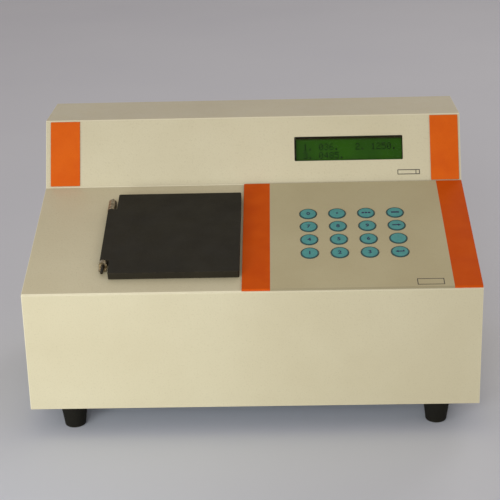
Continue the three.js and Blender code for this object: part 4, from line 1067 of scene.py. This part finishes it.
# Clear glass or plastic that lets the lamps shine straight through
def makeGlass(name, tint, roughness, ior=1.5, specular=0.5):
    material, tree, shader, where = newMaterial(name)
    haze = spread(tree, speckle(tree, where, 3, 3), 0.4, 0.8, roughness, roughness * 3)
    tree.links.new(haze, shader.inputs["Roughness"])
    shader.inputs["Base Color"].default_value = screenColour(*tint)
    shader.inputs["Transmission Weight"].default_value = 1
    shader.inputs["IOR"].default_value = ior
    shader.inputs["Specular IOR Level"].default_value = specular
    path = addNode(tree, "LightPath").outputs
    straight = largest(tree, [path["Is Shadow Ray"], path["Is Diffuse Ray"]])
    through = addNode(tree, "BsdfTransparent", {"Color": screenColour(*tint)}).outputs["BSDF"]
    sockets = {0: straight, 1: shader.outputs["BSDF"], 2: through}
    both = addNode(tree, "MixShader", sockets).outputs[0]
    tree.links.new(both, tree.nodes["Material Output"].inputs["Surface"])
    return material


# Left, right, low and high are the sides of the window, towards which the glass is coloured darker
def makeLcdGlass(left, right, low, high):
    look = lcdLook
    material, tree, shader, where = finish("lcdGreen", look)
    upward = (facePlace.to_3x3() @ Vector((0, 1, 0))).normalized()
    startUp = upward.dot(facePlace.translation)
    across = addNode(tree, "SeparateXYZ", {"Vector": where}).outputs["X"]
    up = along(tree, where, upward)
    # Darker towards each side of the window, most towards the left and the top
    border = largest(tree, [
        spread(tree, across, (left + look["borderLeft"]) * mm, left * mm),
        spread(tree, across, (right - look["borderOther"]) * mm, right * mm),
        spread(tree, up, startUp + (low + look["borderOther"]) * mm, startUp + low * mm),
        spread(tree, up, startUp + (high - look["borderTop"]) * mm, startUp + high * mm),
    ])
    recolour(tree, shader, times(tree, border, look["borderShare"]), look["border"])
    return material


def makeDots(left, high):
    look = lcdShape
    dots = []
    halfX, halfUp = look["dotShare"] / 2 * look["dotX"], look["dotShare"] / 2 * look["dotUp"]
    for below, text in zip(look["rowsBelowTop"], look["rows"]):
        middleUp = high - below
        for column, sign in enumerate(text):
            middleX = left + look["firstColumn"] + column * look["columnPitch"]
            for up, line in enumerate(dotDigits.get(sign, "").split()):
                for across, mark in enumerate(line):
                    if mark == "1":
                        x = middleX + (across - 2) * look["dotX"]
                        y = middleUp + (3 - up) * look["dotUp"]
                        bottom = look["glassTop"]
                        sides = x - halfX, x + halfX, y - halfUp, y + halfUp
                        dots.append(cuboid(*sides, bottom, bottom + look["dotThick"]))
    return merged(dots)


def makeDisplay():
    look = lcdShape
    left, right, low, high = windowSides()
    reach = look["reach"]
    outline = roundedBox(left - reach, right + reach, low - reach, high + reach, look["glassCorner"])
    glass = prism(outline, look["glassBottom"], look["glassTop"])
    roundEdges(glass, look["glassRound"], 2)
    addPiece("lcd_glass", glass, [makeLcdGlass(left, right, low, high)], place=facePlace)
    addPiece("lcd_dots", makeDots(left, high), [lcdDot], place=facePlace)
    boardTop = boxIn("display_module", facePlace)[0].z + look["boardThick"]
    dressedCopy("display_module", "lcd_module", 0.25, [bezelBlack, boardGreen], facePlace,
                facePick=lambda middle: 1 if middle.z < boardTop else 0)


# Vinyl stripes on the face, and the bare label beside the window
stripeVinyl = plainFinish("orangeVinyl", {
    "colour": (228, 103, 12), "patch": ((220, 93, 7), 24), "speck": ((200, 80, 8), 0.9, 0.25),
    "dustAndCreaseShade": ((150, 70, 24), 1.2, 0.35),
    "roughness": (0.5, 0.62), "specular": 0.12, "grains": [(6, 0.015), (0.8, 0.008)],
})

stripeShape = {"corner": 0.4, "edgeRound": 0.08}

labelPaper = plainFinish("labelPaper", {
    "colour": (218, 210, 178), "patch": ((208, 200, 168), 4),
    "roughness": (0.4, 0.5), "grains": [(0.5, 0.006)],
})


def makeStripes():
    look = stripeShape
    for side in ("left", "right"):
        nodeName = "display_stripe_" + side
        low, high = boxIn(nodeName, facePlace)
        vinyl = prism(roundedBox(low.x, high.x, low.y, high.y, look["corner"]), low.z, high.z)
        roundEdges(vinyl, look["edgeRound"], 2, 50)
        addPiece("vinyl_stripe_" + side, vinyl, [stripeVinyl], nodeName, facePlace)


def makeFaceLabel():
    look = labelShape
    left, right, low, high = look["faceBox"]
    line, top = look["line"], look["plateThick"]
    plate = prism(roundedBox(left, right, low, high, look["corner"], 3), 0, top)
    addPiece("face_label_plate", plate, [labelPaper], place=facePlace)
    cell = look["faceCell"]
    bar = cuboid(cell, cell + line, low + line, high - line, top, top + look["thick"])
    lines = merged([boxLines(left, right, low, high, top), bar])
    addPiece("face_label_outline", lines, [darkInk], place=facePlace)


clearPane = makeGlass("clearPane", (249, 251, 247), 0.001, 1.08, 0.2)
dressedCopy("display_window", "display_pane", 0.15, [clearPane], facePlace)
makeDisplay()
makeStripes()
makeFaceLabel()
print("display face is in")


# Sample well and cell holder under the lid
wellBlack = plainFinish("wellBlack", {
    "colour": (30, 30, 30), "patch": ((24, 24, 25), 16), "speck": ((58, 56, 52), 0.7, 0.4),
    "dustAndCreaseShade": ((66, 62, 54), 4, 0.25), "wearAndEdgeHighlight": ((88, 84, 76), 0.4, 3, 0.6),
    "roughness": (0.6, 0.78), "grains": [(0.9, 0.03), (0.4, 0.015)],
})

holderBlack = plainFinish("holderBlack", {
    "colour": (36, 36, 38), "patch": ((44, 44, 47), 10),
    "wearAndEdgeHighlight": ((140, 140, 142), 0.35, 2, 0.7),
    "roughness": (0.36, 0.5), "metallic": 0.4, "grains": [(0.5, 0.008)],
})

dressedCopy("chamber_well", "sample_well", 0.35, [wellBlack])
dressedCopy("cell_holder", "cuvette_holder", 0.3, [holderBlack])
print("sample well is in")


# Rear panel: painted sheet with two groups of slots, its own fold at the foot, and screws round it
rearShape = {
    "thick": 1.5, "corner": 1.2, "edgeRound": 0.2, "ventHalfWidth": 1.5, "ventHalfLength": 17,
    "ventPitch": 8, "ventCount": 11, "ventHeight": 112, "ventRowX": 66, "footInset": 12,
    "seat": 1.8, "openingGap": 0.3, "openingCorner": 1, "screwRadius": 2.9, "screwHeight": 1.5,
    "screwEdge": 6.2, "screwUps": (24, 80), "screwX": 48, "overrun": 6,
}


# A raised screw head that looks to the rear, with its seat at y
def rearScrew(name, radius, height, slotTurn, x, y, z):
    addPiece(name, moved(screwHead(radius, height, slotTurn), x, y, z, toBack), [screwSteel])


def makeRearPanel():
    look = rearShape
    low, high = boxIn("rear_panel", casePlace)
    thick, over, gap = look["thick"], look["overrun"], look["openingGap"]
    plate = prism(roundedBox(low.x, high.x, low.z, high.z, look["corner"]), 0, thick, rearView)
    moved(plate, y=high.y)
    left, right = low.x + look["footInset"], high.x - look["footInset"]
    foot = cuboid(left, right, low.y, high.y - thick / 2, look["seat"], look["seat"] + thick)
    panel = combined(plate, "UNION", [foot])
    outlines = []
    half, up, reach = look["ventHalfWidth"], look["ventHeight"], look["ventHalfLength"]
    for rowX in (-look["ventRowX"], look["ventRowX"]):
        for i in range(look["ventCount"]):
            x = rowX + (i - (look["ventCount"] - 1) / 2) * look["ventPitch"]
            outlines.append(roundedBox(x - half, x + half, up - reach, up + reach, half - 0.01))
    inner = high.y - thick
    for nodeName in ("mains_inlet", "power_switch"):
        start, end = boxIn(nodeName, casePlace, inner)
        sides = start.x - gap, end.x + gap, start.z - gap, end.z + gap
        outlines.append(roundedBox(*sides, look["openingCorner"]))
    start, end = boxIn("fuse_holder", casePlace, inner)
    middle = (start + end) / 2
    outlines.append(circle(middle.x, middle.z, (end.x - start.x) / 2 + gap))
    holes = [moved(prism(outline, -over, over, rearView), y=high.y) for outline in outlines]
    panel = combined(panel, "DIFFERENCE", [merged(holes)])
    roundEdges(panel, look["edgeRound"], 2, 50)
    addPiece("rear_sheet", panel, [casePaint], "rear_panel")
    edge = look["screwEdge"]
    places = [(side * (high.x - edge), z) for side in (-1, 1) for z in (*look["screwUps"], high.z - edge)]
    places += [(side * look["screwX"], high.z - edge) for side in (-1, 1)]
    radius, height = look["screwRadius"], look["screwHeight"]
    for i, (x, z) in enumerate(places):
        rearScrew("rear_screw_%d" % (i + 1), radius, height, 25 + 47 * i, x, high.y, z)


makeRearPanel()
print("rear panel is in")


# Mains inlet, fuse and switch
blackPlastic = plainFinish("blackPlastic", {
    "colour": (27, 27, 28), "patch": ((34, 34, 35), 9), "speck": ((54, 54, 54), 0.6, 0.25),
    "dustAndCreaseShade": ((64, 60, 54), 2, 0.3), "wearAndEdgeHighlight": ((72, 72, 72), 0.3, 2, 0.4),
    "roughness": (0.34, 0.48), "grains": [(0.7, 0.012)],
})

whiteInk = plainFinish("whiteInk", {
    "colour": (226, 226, 220), "patch": ((214, 214, 206), 1),
    "roughness": (0.4, 0.5), "grains": [(0.4, 0.004)],
})

mainsShape = {
    "pinHalfX": 8.6, "pinHalfZ": 4.4,
    "pinEnds": (19.7, 1),  # how far the pins start and end inside the inlet's outer side
    "inletScrewSpacing": 40, "inletScrewRadius": 2.9, "inletScrewHeight": 1.2, "capFlutes": 12,
    "capFlute": 0.5, "capRound": 0.5, "capStem": 3.2, "capStemLength": 16, "capStemChamfer": 0.3,
    "capStemLap": 0.5,  # how far the stem goes into the head
    "capSlot": (1.4, 1.6), "holderBody": 6.3, "holderChamfer": 0.4, "holderRound": 0.6,
    "holderBore": 3.6, "holderBoreDepth": 17, "flangeGap": 0.3, "rockerInset": 3.05,
    "rockerReach": 3, "rockerSag": 1.2, "rockerBelly": 2, "rockerTilt": 10, "rockerRound": 0.3,
    "markShare": 0.52,  # of the way from the rocker's middle to its ends
    "markThick": 0.05, "markLift": 0.01,
    "markBar": (0.35, 1.6, 0.2),  # half its width, half its length and its corners
    "markRing": (1.5, 0.9),
}


def makeInlet():
    look = mainsShape
    low, high = boxIn("mains_inlet", casePlace)
    middle = (low + high) / 2
    start, end = [high.y - inset for inset in look["pinEnds"]]

    def pinMaterial(point):
        within = abs(point.x - middle.x) < look["pinHalfX"] and abs(point.z - middle.z) < look["pinHalfZ"]
        return 1 if within and start < point.y < end else 0

    materials = [blackPlastic, nickel]
    dressedCopy("mains_inlet", "inlet_socket", 0.3, materials, facePick=pinMaterial)
    radius, height = look["inletScrewRadius"], look["inletScrewHeight"]
    for i, side in enumerate((-1, 1)):
        x = middle.x + side * look["inletScrewSpacing"] / 2
        rearScrew("inlet_screw_%d" % (i + 1), radius, height, 30 + 80 * i, x, high.y, middle.z)


def makeFuseHolder():
    look = mainsShape
    low, high = boxIn("fuse_holder", casePlace)
    middle = (low + high) / 2
    flange = (high.x - low.x) / 2
    length = high.y - low.y
    plane = boxIn("rear_panel", casePlace)[1].y + look["flangeGap"] - low.y
    body, chamfer, rounding = look["holderBody"], look["holderChamfer"], look["holderRound"]
    bore, boreEnd = look["holderBore"], length - look["holderBoreDepth"]
    profile = [
        (0, 0), (body - chamfer, 0), (body, chamfer), (body, plane), (flange, plane),
        *arc(flange - rounding, length - rounding, rounding, 0, 90, 5),
        (bore, length), (bore, boreEnd), (0, boreEnd),
    ]
    holder = moved(turned(profile, 64), middle.x, low.y, middle.z, toBack)
    addPiece("fuse_socket", holder, [blackPlastic], "fuse_holder")


def makeFuseCap():
    look = mainsShape
    low, high = boxIn("fuse_cap", casePlace)
    radius = (high.x - low.x) / 2
    stemLength = look["capStemLength"]
    steps = 8 * look["capFlutes"]
    outline = []
    for i in range(steps):
        angle = 2 * pi * i / steps
        r = radius - look["capFlute"] * (0.5 - 0.5 * cos(look["capFlutes"] * angle)) ** 2
        outline.append((r * cos(angle), r * sin(angle)))
    total = high.y - low.y
    head = prism(outline, stemLength, total)
    roundEdges(head, look["capRound"], 3, 60)
    slotWidth, slotDepth = look["capSlot"]
    slot = cuboid(-radius - 1, radius + 1, -slotWidth / 2, slotWidth / 2, total - slotDepth, total + 1)
    head = combined(head, "DIFFERENCE", [slot])
    stem, chamfer, top = look["capStem"], look["capStemChamfer"], stemLength + look["capStemLap"]
    profile = [(0, 0), (stem - chamfer, 0), (stem, chamfer), (stem, top), (0, top)]
    cap = combined(head, "UNION", [turned(profile, 40)])
    moved(cap, (low.x + high.x) / 2, low.y, (low.z + high.z) / 2, toBack)
    addPiece("fuse_cap_fluted", cap, [blackPlastic], "fuse_cap", body="fuse_cap")


def makeRocker():
    look = mainsShape
    low, high = boxIn("power_rocker", casePlace)
    middleX = (low.x + high.x) / 2
    halfThick = (high.x - low.x) / 2
    switchLow, switchHigh = boxIn("power_switch", casePlace)
    middleZ = (switchLow.z + switchHigh.z) / 2
    pivotY = boxIn("rear_panel", casePlace)[1].y
    half = (switchHigh.z - switchLow.z) / 2 - look["rockerInset"]
    tip = degrees(asin(look["rockerReach"] / half))
    belly = degrees(asin(look["rockerBelly"] / half))
    upper = arc(0, 0, half, 90 - tip, 90 + belly, 10)
    lower = [(y, -z) for y, z in reversed(upper)]
    valley = look["rockerReach"] - look["rockerSag"]
    rocker = prism([*upper, *lower, (valley, 0)], -halfThick, halfThick, sideView)
    roundEdges(rocker, look["rockerRound"], 3, 30)
    faceTurn = atan2(look["rockerSag"], half * cos(radians(tip)))
    thick, share = look["markThick"], look["markShare"]
    wide, reach, corner = look["markBar"]
    bar = prism(roundedBox(-wide, wide, -reach, reach, corner), 0, thick)
    outer, inner = look["markRing"]
    ring = combined(prism(circle(0, 0, outer), 0, thick), "DIFFERENCE", [prism(circle(0, 0, inner), -1, 1)])
    out = valley + look["rockerSag"] * share / cos(radians(tip)) + look["markLift"]
    for shape, side in ((bar, 1), (ring, -1)):
        shape.transform(toBack)
        moved(shape, 0, out, side * half * share, Matrix.Rotation(side * -faceTurn, 4, "X"))
    whole = printed(rocker, merged([bar, ring]), 1)
    moved(whole, middleX, pivotY, middleZ, Matrix.Rotation(radians(-look["rockerTilt"]), 4, "X"))
    materials = [blackPlastic, whiteInk]
    addPiece("switch_rocker", whole, materials, "power_rocker", body="power_rocker")


makeInlet()
makeFuseHolder()
makeFuseCap()
dressedCopy("power_switch", "switch_frame", 0.3, [blackPlastic])
makeRocker()
print("mains parts are in")


# Base tray, and what stands on it inside
zincSheet = plainFinish("zincSheet", {
    "colour": (172, 174, 176), "patch": ((142, 145, 149), 12), "speck": ((196, 198, 200), 4, 0.5),
    "dustAndCreaseShade": ((96, 92, 84), 6, 0.5),
    "roughness": (0.3, 0.5), "metallic": 1, "grains": [(3, 0.01)],
})

benchAluminium = plainFinish("benchAluminium", {
    "colour": (186, 188, 190), "patch": ((170, 172, 175), 8),
    "wearAndEdgeHighlight": ((214, 215, 216), 0.3, 2, 0.5),
    "roughness": (0.26, 0.4), "metallic": 1, "grains": [(0.5, 0.008)],
})

motorSteel = plainFinish("motorSteel", {
    "colour": (150, 150, 150), "patch": ((128, 128, 129), 6),
    "roughness": (0.24, 0.38), "metallic": 1, "grains": [(0.5, 0.006)],
})

blackPart = plainFinish("componentBlack", {
    "colour": (30, 30, 31), "patch": ((40, 40, 41), 4),
    "roughness": (0.4, 0.6), "grains": [(0.6, 0.01)],
})

coilTape = plainFinish("coilTape", {
    "colour": (206, 176, 70), "patch": ((190, 158, 56), 5),
    "roughness": (0.3, 0.45), "grains": [(1.2, 0.02)],
})

coreIron = plainFinish("coreIron", {
    "colour": (92, 84, 76), "patch": ((70, 62, 56), 3),
    "roughness": (0.4, 0.6), "metallic": 0.8, "grains": [(0.5, 0.03)],
})

insideShape = {
    "boardThick": 1.61,  # a little over the board's own, to tell its faces from the parts' on it
    "coreHalf": 9.1,  # a little over half the core's depth, to tell its faces from the coil's
}

# Node, name of its piece, edge rounding, material and slot
insideCopies = [
    ("base_plate", "base_tray", 0.2, zincSheet, "zinc_sheet"),
    ("optical_bench", "bench_plate", 0.3, benchAluminium, "bench_aluminium"),
    ("motor_bracket", "motor_angle", 0.2, zincSheet, "zinc_sheet"),
    ("wheel_motor", "stepper_motor", 0.3, motorSteel, "motor_steel"),
    ("lens_mount", "lens_block", 0.3, holderBlack, "holder_black"),
    ("lamp_holder", "lamp_block", 0.3, benchAluminium, "bench_aluminium"),
    ("detector_housing", "detector_block", 0.3, holderBlack, "holder_black"),
]

filterTints = [
    (120, 90, 220), (70, 110, 230), (60, 170, 220), (60, 200, 120),
    (190, 210, 70), (240, 190, 60), (240, 120, 50), (220, 50, 50),
]


def dressInside():
    for nodeName, pieceName, width, material, slot in insideCopies:
        dressedCopy(nodeName, pieceName, width, [material])
    boardTop = boxIn("main_board", casePlace)[0].z + insideShape["boardThick"]
    dressedCopy("main_board", "processor_board", 0.15, [boardGreen, blackPart],
                facePick=lambda middle: 1 if middle.z > boardTop else 0)
    low, high = boxIn("transformer", casePlace)
    coreY = (low.y + high.y) / 2
    dressedCopy("transformer", "mains_transformer", 0.3, [coreIron, coilTape],
                facePick=lambda middle: 1 if abs(middle.y - coreY) > insideShape["coreHalf"] else 0)
    clear = makeGlass("lensGlass", (244, 247, 248), 0.01)
    wears = {"condenser_lens": clear, "lamp": clear, "filter_wheel": benchAluminium}
    for i, tint in enumerate(filterTints):
        wears["filter_%d" % (i + 1)] = makeGlass("filterGlass%d" % (i + 1), tint, 0.02)
    for nodeName, material in wears.items():
        for each in frame["nodes"][nodeName].material_slots:
            each.material = material


dressInside()
print("inside is dressed")
